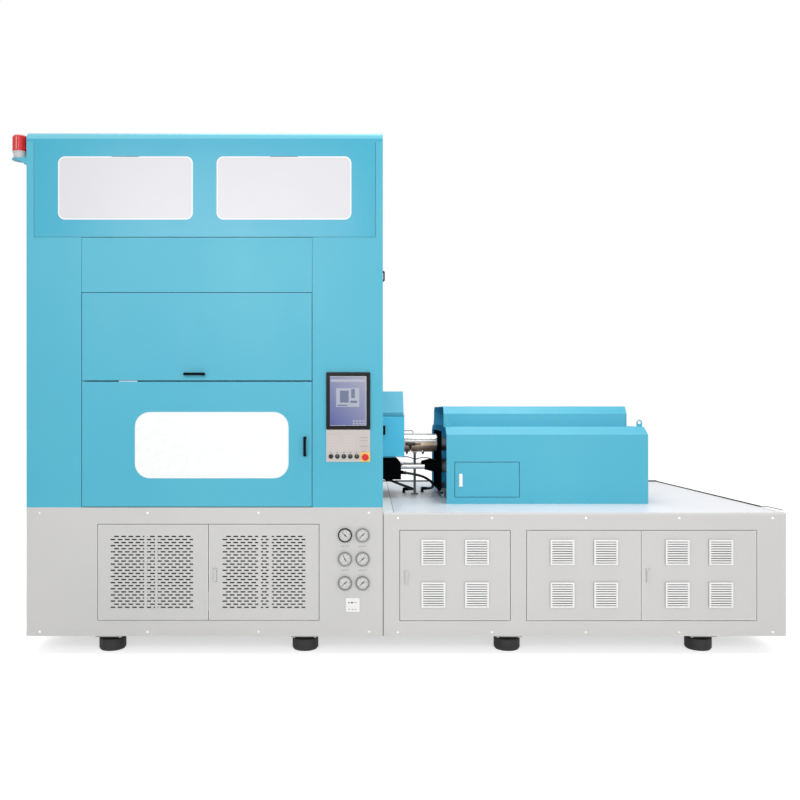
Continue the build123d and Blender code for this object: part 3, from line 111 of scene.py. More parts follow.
# A box with eased edges, from its lowest to its highest corner
def addPlate(form, low, high, ease=0.8):
    a, b = spot(*low), spot(*high)
    made = bmesh.ops.create_cube(form, size=1.0)["verts"]
    for vert in made:
        vert.co = Vector(((a[i] + b[i]) / 2 + vert.co[i] * (b[i] - a[i]) for i in range(3)))
    edges = list({edge for vert in made for edge in vert.link_edges})
    bmesh.ops.bevel(form, geom=edges, offset=ease / 1000, segments=2, affect="EDGES", profile=0.5)


# Faces between neighbouring loops of as many points
def joinLoops(form, loops):
    for a, b in zip(loops, loops[1:]):
        for i in range(len(a)):
            after = (i + 1) % len(a)
            form.faces.new((a[i], a[after], b[after], b[i]))


# A turned form: (distance along the axis, radius) pairs, swept round the axis from a centre
def addTurned(form, centre, axis, profile, steps=32):
    origin = spot(*centre)
    turn = {"x": Matrix.Rotation(math.radians(90), 4, "Y"), "y": Matrix.Rotation(math.radians(-90), 4, "X"),
            "z": Matrix.Identity(4)}[axis]
    rings = []
    for along, radius in profile:
        ring = []
        for step in range(steps if radius > 0 else 1):
            angle = 2 * math.pi * step / steps
            local = Vector((radius * math.cos(angle), radius * math.sin(angle), along)) / 1000
            ring.append(form.verts.new(origin + turn @ local))
        rings.append(ring)
    for lower, upper in zip(rings, rings[1:]):
        count = max(len(lower), len(upper))
        for step in range(count):
            after = (step + 1) % count
            corners = [lower[step % len(lower)], lower[after % len(lower)], upper[after % len(upper)],
                       upper[step % len(upper)]]
            loop = []
            for vert in corners:
                if vert not in loop:
                    loop.append(vert)
            if len(loop) > 2:
                form.faces.new(loop)
    for ring, last in ((rings[0], False), (rings[-1], True)):
        if len(ring) > 1:
            form.faces.new(ring if last else ring[::-1])


# A curve with a round section along the given places
def newLine(name, kind, places, radius, fineness):
    curve = bpy.data.curves.new(name, "CURVE")
    curve.dimensions = "3D"
    line = curve.splines.new(kind)
    line.points.add(len(places) - 1)
    for point, place in zip(line.points, places):
        point.co = (*place, 1)
    curve.bevel_depth = radius
    curve.bevel_resolution = fineness
    curve.use_fill_caps = True
    return curve


# A rigid pipe through a few points, each corner turned by an arc
def pipePiece(name, points, radius, bend, material, body):
    places = [spot(*point) for point in points]
    route = [places[0]]
    for before, here, after in zip(places, places[1:], places[2:]):
        inward, outward = before - here, after - here
        reach = min(bend / 1000, inward.length * 0.45, outward.length * 0.45)
        start, end = here + inward.normalized() * reach, here + outward.normalized() * reach
        for step in range(7):
            t = step / 6
            route.append(start * (1 - t) ** 2 + here * 2 * t * (1 - t) + end * t ** 2)
    mesh = solidOf(linked(name + "Line", newLine(name + "Line", "POLY", route + [places[-1]], radius / 1000, 3)))
    mesh.polygons.foreach_set("use_smooth", [True] * len(mesh.polygons))
    mesh.materials.clear()
    newPiece(name, mesh, material, body)


# Node trees
def addNode(tree, kind, **settings):
    node = tree.nodes.new(kind)
    for key, value in settings.items():
        setattr(node, key, value)
    return node


def feed(tree, pairs):
    for source, target in pairs:
        tree.links.new(source, target)


# A node with its inputs by label, each a value, a link or a list of links; out says which output is wanted
def wired(tree, kind, fed, out=0, **settings):
    node = addNode(tree, kind, **settings)
    for label, values in fed.items():
        for value in values if isinstance(values, list) else [values]:
            if isinstance(value, bpy.types.NodeSocket):
                tree.links.new(value, node.inputs[label])
            else:
                node.inputs[label].default_value = value
    return node.outputs[out]


# A node group: each input and output by its label and the sort of its socket
def newGroup(name, kind, inputs, outputs):
    tree = bpy.data.node_groups.new(name, kind)
    for way, sockets in (("INPUT", inputs), ("OUTPUT", outputs)):
        for label, sort in sockets.items():
            tree.interface.new_socket(label, in_out=way, socket_type="NodeSocket" + sort)
    return tree, tree.nodes.new("NodeGroupInput").outputs, tree.nodes.new("NodeGroupOutput").inputs


def mathStep(tree, operation, first, second=None, clamp=False):
    node = addNode(tree, "ShaderNodeMath", operation=operation, use_clamp=clamp)
    for socket, value in zip(node.inputs, (first, second)):
        if isinstance(value, (int, float)):
            socket.default_value = value
        elif value is not None:
            tree.links.new(value, socket)
    return node.outputs[0]


# A value drawn out from a low tone upwards, kept between 0 and 1
def contrast(tree, value, low, gain):
    return mathStep(tree, "MULTIPLY", mathStep(tree, "SUBTRACT", value, low), gain, clamp=True)


def blendColour(tree, amount, first, second):
    return wired(tree, "ShaderNodeMix", {"Factor": amount, "A": first, "B": second}, "Result", data_type="RGBA",
                 blend_type="MIX")


def noiseAt(tree, place, size, detail, scale=None):
    if scale:
        place = wired(tree, "ShaderNodeMapping", {"Vector": place, "Scale": scale})
    return wired(tree, "ShaderNodeTexNoise", {"Vector": place, "Scale": size, "Detail": detail}, "Fac")


def skinGroup(name, inputs):
    tree, given, made = newGroup(name, "ShaderNodeTree", inputs,
                                 {"Colour": "Color", "Roughness": "Float", "Height": "Float"})
    return tree, given, made, addNode(tree, "ShaderNodeTexCoord").outputs["Object"]


# Powder coat: broad tone clouds, orange peel, and a paler line along edges, partly rubbed wear and partly painted edge
# highlight
def paintGroup():
    tree, given, made, place = skinGroup("powderCoat", {
        "Colour": "Color", "Deep Colour": "Color", "Rubbed And Highlit Colour": "Color", "Cloud Scale": "Float",
        "Peel Scale": "Float", "Sheen Roughness": "Float", "Rubbing And Highlight": "Float"})
    cloud = contrast(tree, noiseAt(tree, place, given["Cloud Scale"], 3), 0.3, 2.2)
    toned = blendColour(tree, cloud, given["Deep Colour"], given["Colour"])
    rounded = wired(tree, "ShaderNodeBevel", {"Radius": 0.002}, samples=4)
    flat = wired(tree, "ShaderNodeNewGeometry", {}, "Normal")
    facing = wired(tree, "ShaderNodeVectorMath", {0: rounded, 1: flat}, "Value", operation="DOT_PRODUCT")
    edge = mathStep(tree, "MULTIPLY", mathStep(tree, "SUBTRACT", 0.995, facing), 9.0, clamp=True)
    patchy = contrast(tree, noiseAt(tree, place, 35.0, 4), 0.35, 3.0)
    # The paler edge line: partly rubbed wear, partly a painted highlight on the edge
    rubbedAndHighlit = mathStep(tree, "MULTIPLY", mathStep(tree, "MULTIPLY", edge, patchy), given["Rubbing And Highlight"])
    wornAndHighlit = blendColour(tree, rubbedAndHighlit, toned, given["Rubbed And Highlit Colour"])
    peel = noiseAt(tree, place, given["Peel Scale"], 2)
    smear = noiseAt(tree, place, 6.0, 5, scale=(1.0, 1.0, 0.25))
    rough = mathStep(tree, "ADD", given["Sheen Roughness"],
                     mathStep(tree, "MULTIPLY", mathStep(tree, "SUBTRACT", smear, 0.5), 0.16))
    feed(tree, [(wornAndHighlit, made["Colour"]), (rough, made["Roughness"]), (peel, made["Height"])])
    return tree


# Bare metal: fine grain drawn out along one direction, with darker stains
def metalGroup():
    tree, given, made, place = skinGroup("metalGrain", {
        "Colour": "Color", "Stain Colour": "Color", "Grain Stretch": "Vector", "Grain Scale": "Float",
        "Polish Roughness": "Float", "Stain": "Float"})
    drawn = wired(tree, "ShaderNodeVectorMath", {0: place, 1: given["Grain Stretch"]}, operation="MULTIPLY")
    grain = noiseAt(tree, drawn, given["Grain Scale"], 3)
    patch = contrast(tree, noiseAt(tree, place, 7.0, 4), 0.42, 3.0)
    stain = mathStep(tree, "MULTIPLY", patch, given["Stain"])
    colour = blendColour(tree, stain, given["Colour"], given["Stain Colour"])
    rough = mathStep(tree, "ADD", given["Polish Roughness"],
                     mathStep(tree, "MULTIPLY", mathStep(tree, "ADD", grain, stain), 0.16))
    feed(tree, [(colour, made["Colour"]), (rough, made["Roughness"]), (grain, made["Height"])])
    return tree


# Moulded plastic and rubber: a fine pebble and a dull bloom
def mouldedGroup():
    tree, given, made, place = skinGroup("mouldedPlastic", {
        "Colour": "Color", "Bloom Colour": "Color", "Bloom": "Float", "Pebble Scale": "Float",
        "Skin Roughness": "Float"})
    broad = contrast(tree, noiseAt(tree, place, 14.0, 5), 0.35, 2.5)
    bloom = mathStep(tree, "MULTIPLY", broad, given["Bloom"])
    colour = blendColour(tree, bloom, given["Colour"], given["Bloom Colour"])
    cells = wired(tree, "ShaderNodeTexVoronoi", {"Vector": place, "Scale": given["Pebble Scale"]}, "Distance")
    rough = mathStep(tree, "ADD", given["Skin Roughness"], mathStep(tree, "MULTIPLY", bloom, 0.2))
    feed(tree, [(colour, made["Colour"]), (rough, made["Roughness"]), (cells, made["Height"])])
    return tree


groups = {"paint": paintGroup(), "metal": metalGroup(), "moulded": mouldedGroup()}


def newMaterial(name):
    material = bpy.data.materials.new(name)
    material.use_nodes = True
    return material, material.node_tree, material.node_tree.nodes["Principled BSDF"]


# A finish: one shared group with its own values, and what is the same all over on the shader itself
def newFinish(name, kind, values, shader, bump=0.15):
    material, tree, principled = newMaterial(name)
    skin = addNode(tree, "ShaderNodeGroup", node_tree=groups[kind])
    for label, value in values.items():
        skin.inputs[label].default_value = value
    for label, value in shader.items():
        principled.inputs[label].default_value = value
    raised = wired(tree, "ShaderNodeBump", {"Strength": bump, "Distance": 0.0002, "Height": skin.outputs["Height"]})
    feed(tree, [(skin.outputs["Colour"], principled.inputs["Base Color"]),
                (skin.outputs["Roughness"], principled.inputs["Roughness"]), (raised, principled.inputs["Normal"])])
    return material


# The rubbed tone along edges stands partly for wear and partly for a painted edge highlight
def paint(name, colour, deep, rough=0.42, rubbedAndHighlit=(235, 240, 242), peel=420.0, cloud=0.8, **shader):
    values = {"Colour": srgb(*colour), "Deep Colour": srgb(*deep), "Rubbed And Highlit Colour": srgb(*rubbedAndHighlit),
              "Sheen Roughness": rough, "Peel Scale": peel, "Cloud Scale": cloud, "Rubbing And Highlight": 0.35}
    return newFinish(name, "paint", values, shader)


def metal(name, colour, stained, rough=0.25, stretch=(1, 1, 1), **shader):
    values = {"Colour": srgb(*colour), "Stain Colour": srgb(*stained), "Polish Roughness": rough,
              "Grain Stretch": stretch, "Grain Scale": 300.0, "Stain": 0.5}
    return newFinish(name, "metal", values, {"Metallic": 1.0, **shader}, bump=0.08)


def moulded(name, colour, bloomed, rough=0.45, pebble=900.0, bloom=0.3, **shader):
    values = {"Colour": srgb(*colour), "Bloom Colour": srgb(*bloomed), "Skin Roughness": rough,
              "Pebble Scale": pebble, "Bloom": bloom}
    return newFinish(name, "moulded", values, shader)


finishes = {
    "blue_paint": paint("bluePowderCoat", (82, 184, 207), (72, 178, 205)),
    "grey_paint": paint("greyPowderCoat", (213, 211, 209), (206, 205, 203)),
    "deck_paint": paint("deckEnamel", (240, 239, 242), (232, 232, 236), rough=0.4, peel=250.0),
    "frame_paint": paint("frameEnamel", (120, 124, 128), (102, 106, 110), rough=0.5),
    "rack_metal": paint("rackEnamel", (196, 198, 196), (180, 184, 184), rough=0.45),
    "black_steel": paint("blackEnamel", (16, 17, 19), (12, 13, 15), rough=0.5, rubbedAndHighlit=(110, 112, 116),
                         **{"IOR": 1.12}),
    "foot_rubber": moulded("footRubber", (24, 24, 25), (58, 57, 55), rough=0.6, pebble=500.0),
    "hose_rubber": moulded("hoseRubber", (16, 17, 19), (42, 42, 44), rough=0.42, pebble=700.0),
    "opal_pane": moulded("opalSheet", (222, 221, 225), (219, 218, 223), rough=0.3, pebble=300.0, bloom=0.15),
    "panel_plastic": moulded("creamPlastic", (203, 197, 193), (192, 186, 182), rough=0.38),
    "control_black": moulded("blackPlastic", (18, 18, 20), (44, 44, 46), rough=0.3),
    "stop_red": moulded("stopRed", (222, 28, 30), (198, 22, 26), rough=0.28),
    "socket_white": moulded("socketWhite", (244, 244, 243), (232, 232, 230), rough=0.3),
    "beacon_red": moulded("lensRed", (222, 36, 40), (190, 24, 30), rough=0.16, pebble=200.0, bloom=0.6),
    "gauge_steel": metal("gaugeSteel", (128, 130, 132), (96, 98, 100), rough=0.3),
    "needle_black": moulded("needleBlack", (20, 20, 22), (40, 40, 42), rough=0.35),
    "machined_steel": metal("machinedSteel", (206, 208, 210), (160, 160, 160), rough=0.14, stretch=(1, 1, 0.1)),
    "mould_steel": metal("mouldSteel", (176, 178, 182), (128, 128, 130), rough=0.26),
    "barrel_steel": metal("barrelSteel", (214, 206, 198), (150, 136, 122), rough=0.2, stretch=(0.1, 1, 1)),
    "band_metal": metal("bandBrass", (198, 171, 147), (142, 114, 94), rough=0.22, stretch=(0.15, 1, 1)),
    "latch_chrome": metal("latchChrome", (232, 232, 232), (190, 190, 190), rough=0.16),
}
extra = {
    "clearPane": moulded("milkSheet", (254, 254, 254), (252, 252, 252), rough=0.25, pebble=300.0, bloom=0.4),
    "grilleWhite": moulded("grilleWhite", (250, 250, 249), (240, 240, 238), rough=0.42, pebble=600.0),
    "bezelBlack": moulded("bezelBlack", (10, 9, 12), (20, 19, 24), rough=0.24, pebble=1200.0, bloom=0.2,
                          **{"Specular IOR Level": 0.25}),
    "stopYellow": moulded("stopYellow", (250, 216, 118), (242, 206, 102), rough=0.35),
    "seatGrey": moulded("beaconSeat", (206, 206, 208), (186, 186, 190), rough=0.4),
    "blackRim": metal("blackRim", (44, 45, 47), (26, 26, 28), rough=0.3),
    "dialWhite": moulded("dialWhite", (222, 221, 218), (214, 212, 207), rough=0.35, bloom=0.5),
    "labelInk": moulded("labelInk", (128, 124, 128), (110, 106, 110), rough=0.4),
    "markWhite": moulded("markWhite", (238, 238, 236), (226, 226, 222), rough=0.35),
    # A pale pink for the beacon's cap and front bar: painted highlight
    "capHighlightPink": moulded("capHighlightPink", (250, 196, 192), (244, 168, 164), rough=0.2),
    "plateGrey": moulded("labelPlate", (190, 190, 190), (176, 176, 177), rough=0.3),
    "screwZinc": metal("screwZinc", (236, 236, 234), (196, 196, 194), rough=0.3),
    "filterFelt": moulded("filterFelt", (24, 24, 24), (40, 39, 37), rough=0.85, pebble=350.0, bloom=0.5),
    "padGrey": moulded("padGrey", (112, 112, 112), (134, 132, 128), rough=0.85, pebble=350.0, bloom=0.6),
    "gasketWhite": moulded("gasketWhite", (250, 250, 250), (244, 244, 244), rough=0.4),
    # Dark blue for the painted shade at the top of the header windows
    "lipShade": moulded("lipShade", (40, 92, 120), (54, 108, 134), rough=0.4),
    "keyCream": moulded("keyCream", (211, 201, 198), (203, 193, 190), rough=0.42),
    "coverGrey": moulded("coverGrey", (204, 194, 191), (196, 186, 184), rough=0.34),
    "coverGlass": moulded("coverGlass", (250, 250, 250), (244, 244, 244), rough=0.04, pebble=40.0, bloom=0.2,
                          Alpha=0.04),
    "latchGrey": paint("latchGrey", (208, 208, 208), (200, 200, 200), rough=0.3),
    # A lighter copy of the blue paint for the guard's front: painted light against the tower's shade
    "guardPaintedLightBlue": paint("guardPaintedLightCoat", (88, 218, 250), (82, 212, 247)),
    # A darker copy of the blue paint for the roof: painted shade
    "roofShadedBlue": paint("roofShadedCoat", (50, 173, 200), (46, 169, 199), rough=0.34, cloud=1.4,
                      **{"Coat Weight": 0.2, "Coat Roughness": 0.14}),
    "bladeShade": moulded("bladeShade", (128, 128, 128), (142, 142, 141), rough=0.6),
    "mattBlack": paint("mattBlack", (14, 15, 17), (11, 12, 14), rough=0.6, rubbedAndHighlit=(70, 72, 76), IOR=1.0),
    # A paler, glossier copy of the blue paint for the roof's front bend: painted highlight
    "bendHighlightBlue": paint("roofBendHighlight", (112, 204, 224), (104, 198, 222), rough=0.22,
                      **{"Coat Weight": 0.6, "Coat Roughness": 0.1}),
    "roofTop": paint("roofTop", (72, 184, 210), (66, 178, 206), rough=0.62, IOR=1.15),
    # A pale tone for the door folds: painted highlight
    "foldHighlight": paint("foldHighlight", (236, 235, 233), (228, 227, 226), rough=0.35),
    "lipGrey": paint("lipEnamel", (224, 223, 222), (218, 217, 216), rough=0.35),
    # Dark grey for the painted shade over the base joint
    "jointShadeGrey": moulded("jointGapShade", (92, 92, 95), (106, 106, 108), rough=0.6),
    "flangeGrey": metal("footFlange", (150, 150, 150), (118, 116, 114), rough=0.4),
    # A lighter blue for the cover's inside faces: painted light against their shade
    "insideLitBlue": paint("coverInsidePaintedLight", (96, 214, 255), (84, 200, 250), rough=0.6),
}
print("finishes ready:", len(finishes) + len(extra))

# Camera, from the photograph's perspective: 4.9 m in front, 1.5 m up, shifted to take the machine in
cameraView = {"place": (2130, -4878, 1504), "lens": 35.4, "sensor": 36, "shiftX": 0.0375, "shiftY": 0.015,
              "farthest": 200}
camera = linked("camera", bpy.data.cameras.new("camera"))
camera.location = spot(*cameraView["place"])
camera.rotation_euler = (math.radians(90), 0, 0)
camera.data.lens = cameraView["lens"]
camera.data.sensor_width = cameraView["sensor"]
camera.data.shift_x = cameraView["shiftX"]
camera.data.shift_y = cameraView["shiftY"]
camera.data.clip_end = cameraView["farthest"]
bpy.context.scene.camera = camera

# The two hydraulic hoses between the nozzle block and the deck: (x, y, z) in metres
hoses = {
    "front": {"length": 0.383, "points": [
        (2.262, 1.000, 1.003), (2.350, 1.000, 0.966), (2.425, 1.035, 0.937), (2.460, 1.110, 0.918),
        (2.448, 1.185, 0.909), (2.405, 1.206, 0.909)]},
    "rear": {"length": 0.495, "points": [
        (2.376, 1.000, 1.052), (2.470, 1.000, 1.040), (2.550, 1.015, 1.012), (2.608, 1.075, 0.965),
        (2.610, 1.165, 0.925), (2.594, 1.245, 0.909), (2.550, 1.262, 0.909)]},
}
hoseRadius = 0.0095


def addHose(name, given):
    places = [(towerCorner.x + x, towerCorner.y + y, z) for x, y, z in given["points"]]
    curve = newLine("hydraulicHose_" + name, "NURBS", places, hoseRadius, 5)
    line = curve.splines[0]
    line.order_u = 3
    line.use_endpoint_u = True
    line.resolution_u = 12
    curve.materials.append(finishes["hose_rubber"])
    piece = linked(curve.name, curve)
    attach(piece, "machine")
    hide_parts("hose_" + name)


for name, given in hoses.items():
    addHose(name, given)
print("hoses laid:", len(hoses))

# Studio: a pale floor that goes white away from the machine, an even world and four soft lamps
studio = {"floorTone": (236, 236, 236), "floorRough": 0.7, "floorGlow": 0.62, "worldFill": 0.47, "floorReach": 60}
lamps = {  # place, what it looks at, width, height and power
    "keySoftbox": ((-2.2, -7.4, 3.8), (-0.8, 0, 1.9), 3.6, 2.6, 140),
    "fillSoftbox": ((3.2, -7.5, 3.0), (0.6, 0, 1.1), 3.5, 2.6, 95),
    "topSoftbox": ((0.6, 0.4, 7.5), (0.3, 0, 0), 7.0, 5.0, 185),
    "coverSoftbox": ((1.0, -1.0, 4.8), (0.15, 0.0, 0.9), 1.6, 1.2, 32),
}


# 1 for what the camera sees straight, in a mirror or through a pane, and 0 for other light
def seenBy(tree):
    ray = addNode(tree, "ShaderNodeLightPath")
    return mathStep(tree, "MAXIMUM", ray.outputs["Is Camera Ray"],
                    mathStep(tree, "MAXIMUM", ray.outputs["Is Glossy Ray"], ray.outputs["Is Transmission Ray"]))


def addFloor():
    form = bmesh.new()
    bmesh.ops.create_grid(form, x_segments=1, y_segments=1, size=studio["floorReach"])
    floor = linked("studioFloor", meshFrom("studioFloor", form))
    material, tree, principled = newMaterial("paleFloor")
    principled.inputs["Base Color"].default_value = srgb(*studio["floorTone"])
    principled.inputs["Roughness"].default_value = studio["floorRough"]
    strength = mathStep(tree, "MULTIPLY", seenBy(tree), studio["floorGlow"])
    glow = wired(tree, "ShaderNodeEmission", {"Strength": strength})
    both = wired(tree, "ShaderNodeAddShader", {0: principled.outputs["BSDF"], 1: glow})
    tree.links.new(both, tree.nodes["Material Output"].inputs["Surface"])
    floor.data.materials.append(material)


def addWorld():
    world = bpy.data.worlds.new("paleStudio")
    bpy.context.scene.world = world
    world.use_nodes = True
    tree = world.node_tree
    background = tree.nodes["Background"]
    extraLight = mathStep(tree, "MULTIPLY", seenBy(tree), 1 - studio["worldFill"])
    tree.links.new(mathStep(tree, "ADD", extraLight, studio["worldFill"]), background.inputs["Strength"])
    background.inputs["Color"].default_value = (1, 1, 1, 1)


def addLamp(name, place, target, width, height, power):
    lamp = bpy.data.lights.new(name, "AREA")
    lamp.shape = "RECTANGLE"
    lamp.size = width
    lamp.size_y = height
    lamp.energy = power
    holder = linked(name, lamp)
    holder.location = place
    holder.rotation_euler = (Vector(target) - Vector(place)).to_track_quat("-Z", "Y").to_euler()


addFloor()
addWorld()
for name, settings in lamps.items():
    addLamp(name, *settings)
bpy.context.scene.view_settings.view_transform = "Standard"
print("studio ready")


# CAD nodes: each takes its slot's finish, and some solids in a node take their own
nodeSlots = {
    "blue_paint": ["tower_left_cover", "tower_right_cover", "tower_rear_panels", "roof_cover", "upper_panel",
                   "upper_flap", "lower_door", "nozzle_guard", "guard_door", "injection_cover", "cover_door"],
    "grey_paint": ["tower_base_panels", "deck_base_panels", "vent_door_left", "vent_door_right", *louvreDoors],
    "deck_paint": ["deck_plate"],
    "frame_paint": ["base_frame", "hydraulic_unit"],
    "rack_metal": ["control_rack"],
    "black_steel": ["nozzle_block", "injection_carriage"],
    "foot_rubber": ["levelling_feet"],
    "opal_pane": ["header_windows", "door_window"],
    "panel_plastic": ["operator_panel"],
    "control_black": ["start_button", "selector_1", "selector_2", "selector_3", "selector_4"],
    "stop_red": ["emergency_stop"],
    "gauge_steel": ["gauge_cases"],
    "socket_white": ["wall_socket"],
    "beacon_red": ["beacon"],
    "needle_black": [f"gauge_needle_{i}" for i in range(1, 7)],
    "machined_steel": ["tie_bars", "core_platen", "stretch_rods", "turntable"],
    "mould_steel": ["top_platen", "blow_mould_outer", "blow_mould_inner", "mould_stations"],
    "barrel_steel": ["barrel", "screw"],
    "band_metal": ["heater_bands"],
    "latch_chrome": ["vent_latch", "louvre_latch_a", "louvre_latch_c", "cover_latch"],
}
for slotName, names in nodeSlots.items():
    for name in names:
        nodes[name].data.materials.clear()
        nodes[name].data.materials.append(finishes[slotName])


# The faces of a node whose middles lie in a box of the machine's millimetres take another finish,
# only those that look one way where facing is given
def repaint(name, material, x=None, y=None, z=None, facing=None):
    mesh = nodes[name].data
    if material.name not in mesh.materials:
        mesh.materials.append(material)
    index = mesh.materials.find(material.name)
    for polygon in mesh.polygons:
        middle = (polygon.center - Vector((towerCorner.x, towerCorner.y, 0))) * 1000
        looks = facing is None or polygon.normal.dot(Vector(facing)) > 0.7
        if looks and all(span is None or span[0] <= middle[i] <= span[1] for i, span in enumerate((x, y, z))):
            polygon.material_index = index


# The faces of a cover that look inward, towards its middle line along X, take another finish
def repaintInside(name, material, middle):
    mesh = nodes[name].data
    mesh.materials.append(material)
    centre = spot(0, *middle)
    for polygon in mesh.polygons:
        outward = polygon.center - Vector((polygon.center.x, centre.y, centre.z))
        if abs(polygon.normal.x) < 0.5 and polygon.normal.dot(outward) < 0:
            polygon.material_index = len(mesh.materials) - 1


panelEdges = {"bezelBottom": 1395, "plateFront": -8, "stopPlateLeft": 2071, "stopPlateTop": 1255.5}
# The guard's lower front faces take the lighter blue, painted light where the tower shades them
for name in ("nozzle_guard", "guard_door"):
    repaint(name, extra["guardPaintedLightBlue"], z=(1000, 1474), facing=(0, -1, 0))
# The roof takes the darker blue, painted shade
repaint("roof_cover", extra["roofShadedBlue"])
# The roof's front bend takes the paler blue, a painted highlight
repaint("roof_cover", extra["bendHighlightBlue"], y=(-1, 47.5), z=(3199.5, 3246.8))
repaint("roof_cover", extra["roofTop"], z=(3246.9, 3260), facing=(0, 0, 1))
for name in ("nozzle_block", "injection_carriage"):
    repaint(name, extra["mattBlack"])
repaint("deck_plate", extra["lipGrey"], y=(-5, 2.5), z=(850, 879.9))
# The cover's inside faces take the lighter blue, painted light
repaintInside("injection_cover", extra["insideLitBlue"], (1100, 1130))
repaint("upper_flap", finishes["black_steel"], y=(-60, -0.4))
repaint("lower_door", finishes["black_steel"], y=(-60, -0.4))
repaint("tower_right_cover", finishes["black_steel"], x=(towerWidth + 0.4, towerWidth + 60))
repaint("guard_door", finishes["black_steel"], y=(760, 799.6))
repaint("door_window", extra["clearPane"])
repaint("operator_panel", extra["bezelBlack"], z=(panelEdges["bezelBottom"] + 0.01, 1760), y=(-20, 1))
repaint("operator_panel", finishes["control_black"], y=(-20, panelEdges["plateFront"] - 0.2), z=(1210, 1250),
        x=(1860, 2066))
repaint("operator_panel", extra["stopYellow"], y=(-20, panelEdges["plateFront"] - 0.2),
        x=(panelEdges["stopPlateLeft"] - 0.5, 2140), z=(1190, panelEdges["stopPlateTop"]))
repaint("beacon", extra["seatGrey"], x=(-110, -5), z=(3087.01, 3130.01))
repaint("beacon", finishes["blue_paint"], z=(3000, 3087.01))
repaint("gauge_cases", extra["blackRim"], x=(1925, 2025), z=(690, 790))
for name in louvreDoors:
    repaint(name, extra["bladeShade"], y=(-9, -0.2))
latchMounts = {"louvre_door_a": (2340, 2375, 420, 540), "louvre_door_c": (3840, 3872, 430, 550),
               "cover_door": (2720, 2775, 980, 1100)}
for name, (left, right, low, high) in latchMounts.items():
    frontFace = 463.8 if name == "cover_door" else -0.2
    seat = finishes["latch_chrome"] if name == "cover_door" else extra["latchGrey"]
    repaint(name, seat, x=(left, right), z=(low, high), y=(frontFace - 30, frontFace))
for name in ("vent_latch", "louvre_latch_a", "louvre_latch_c"):
    repaint(name, extra["latchGrey"])
repaint("core_platen", finishes["mould_steel"], z=(1925, 2015))
repaint("turntable", finishes["mould_steel"], z=(1525, 1600))
repaint("nozzle_block", finishes["machined_steel"], x=(2356.5, 3100), z=(1080, 1125))
repaint("injection_carriage", finishes["frame_paint"], x=(2655, 5000))
repaint("deck_plate", finishes["black_steel"], x=(2300, 2600), z=(deckTop + 0.1, 920))
repaint("deck_plate", finishes["machined_steel"], x=(2650, 4000), z=(deckTop + 0.1, 920))
print("CAD nodes painted:", sum(len(names) for names in nodeSlots.values()))


# Geometry Nodes: one tree for each thing that repeats
def grown(name, tree, mesh, values, body):
    holder = linked(name + "Seed", mesh)
    modifier = holder.modifiers.new("grow", "NODES")
    modifier.node_group = tree
    for socket in tree.interface.items_tree:
        if socket.in_out == "INPUT" and socket.name in values:
            modifier[socket.identifier] = values[socket.name]
    solid = solidOf(holder)
    solid.name = name
    return newPiece(name, solid, None, body)


def pointMesh(name, places):
    mesh = bpy.data.meshes.new(name)
    mesh.from_pydata([spot(*place) for place in places], [], [])
    return mesh


def vectorOf(tree, x=0.0, y=0.0, z=0.0):
    return wired(tree, "ShaderNodeCombineXYZ", {0: x, 1: y, 2: z})


def axesOf(tree, value):
    return wired(tree, "ShaderNodeSeparateXYZ", {0: value}).node.outputs


# A tree that grows something on the geometry it is given, in one finish
def growTree(name, inputs):
    return newGroup(name, "GeometryNodeTree", {"Geometry": "Geometry", **inputs, "Finish": "Material"},
                    {"Geometry": "Geometry"})


def spread(tree, points, instance, **more):
    return wired(tree, "GeometryNodeInstanceOnPoints", {"Points": points, "Instance": instance, **more})


def finishTree(tree, source, given, made):
    real = wired(tree, "GeometryNodeRealizeInstances", {"Geometry": source})
    dressed = wired(tree, "GeometryNodeSetMaterial", {"Geometry": real, "Material": given["Finish"]})
    tree.links.new(dressed, made["Geometry"])
    return tree


# Pan head screws with a cross recess, each turned by chance, on the points they are given
def screwTree():
    tree, given, made = growTree("sheetScrews", {
        "Head Radius": "Float", "Head Height": "Float", "Recess Width": "Float", "Facing": "Vector",
        "Turn Seed": "Int"})
    radius, height, wide = given["Head Radius"], given["Head Height"], given["Recess Width"]
    head = wired(tree, "GeometryNodeMeshCone", {"Vertices": 14, "Radius Bottom": radius, "Depth": height,
                                                "Radius Top": mathStep(tree, "MULTIPLY", radius, 0.72)})
    bars = []
    for x, y in ((radius, wide), (wide, radius)):
        bar = wired(tree, "GeometryNodeMeshCube", {"Size": vectorOf(tree, x, y, height)})
        lift = vectorOf(tree, 0.0, 0.0, mathStep(tree, "MULTIPLY", height, 0.9))
        bars.append(wired(tree, "GeometryNodeTransform", {"Geometry": bar, "Translation": lift}))
    cut = wired(tree, "GeometryNodeMeshBoolean", {"Mesh 1": head, "Mesh 2": bars}, operation="DIFFERENCE",
                solver="EXACT")
    facing = wired(tree, "FunctionNodeEulerToRotation", {"Euler": given["Facing"]})
    chance = addNode(tree, "FunctionNodeRandomValue", data_type="FLOAT")
    for socket in chance.inputs:
        if socket.name == "Max" and socket.type == "VALUE":
            socket.default_value = quarterTurn
    tree.links.new(given["Turn Seed"], chance.inputs["Seed"])
    angle = vectorOf(tree, 0.0, 0.0, next(s for s in chance.outputs if s.type == "VALUE" and s.enabled))
    turned = wired(tree, "GeometryNodeRotateInstances", {
        "Instances": spread(tree, given["Geometry"], cut, Rotation=facing), "Rotation": angle})
    return finishTree(tree, turned, given, made)


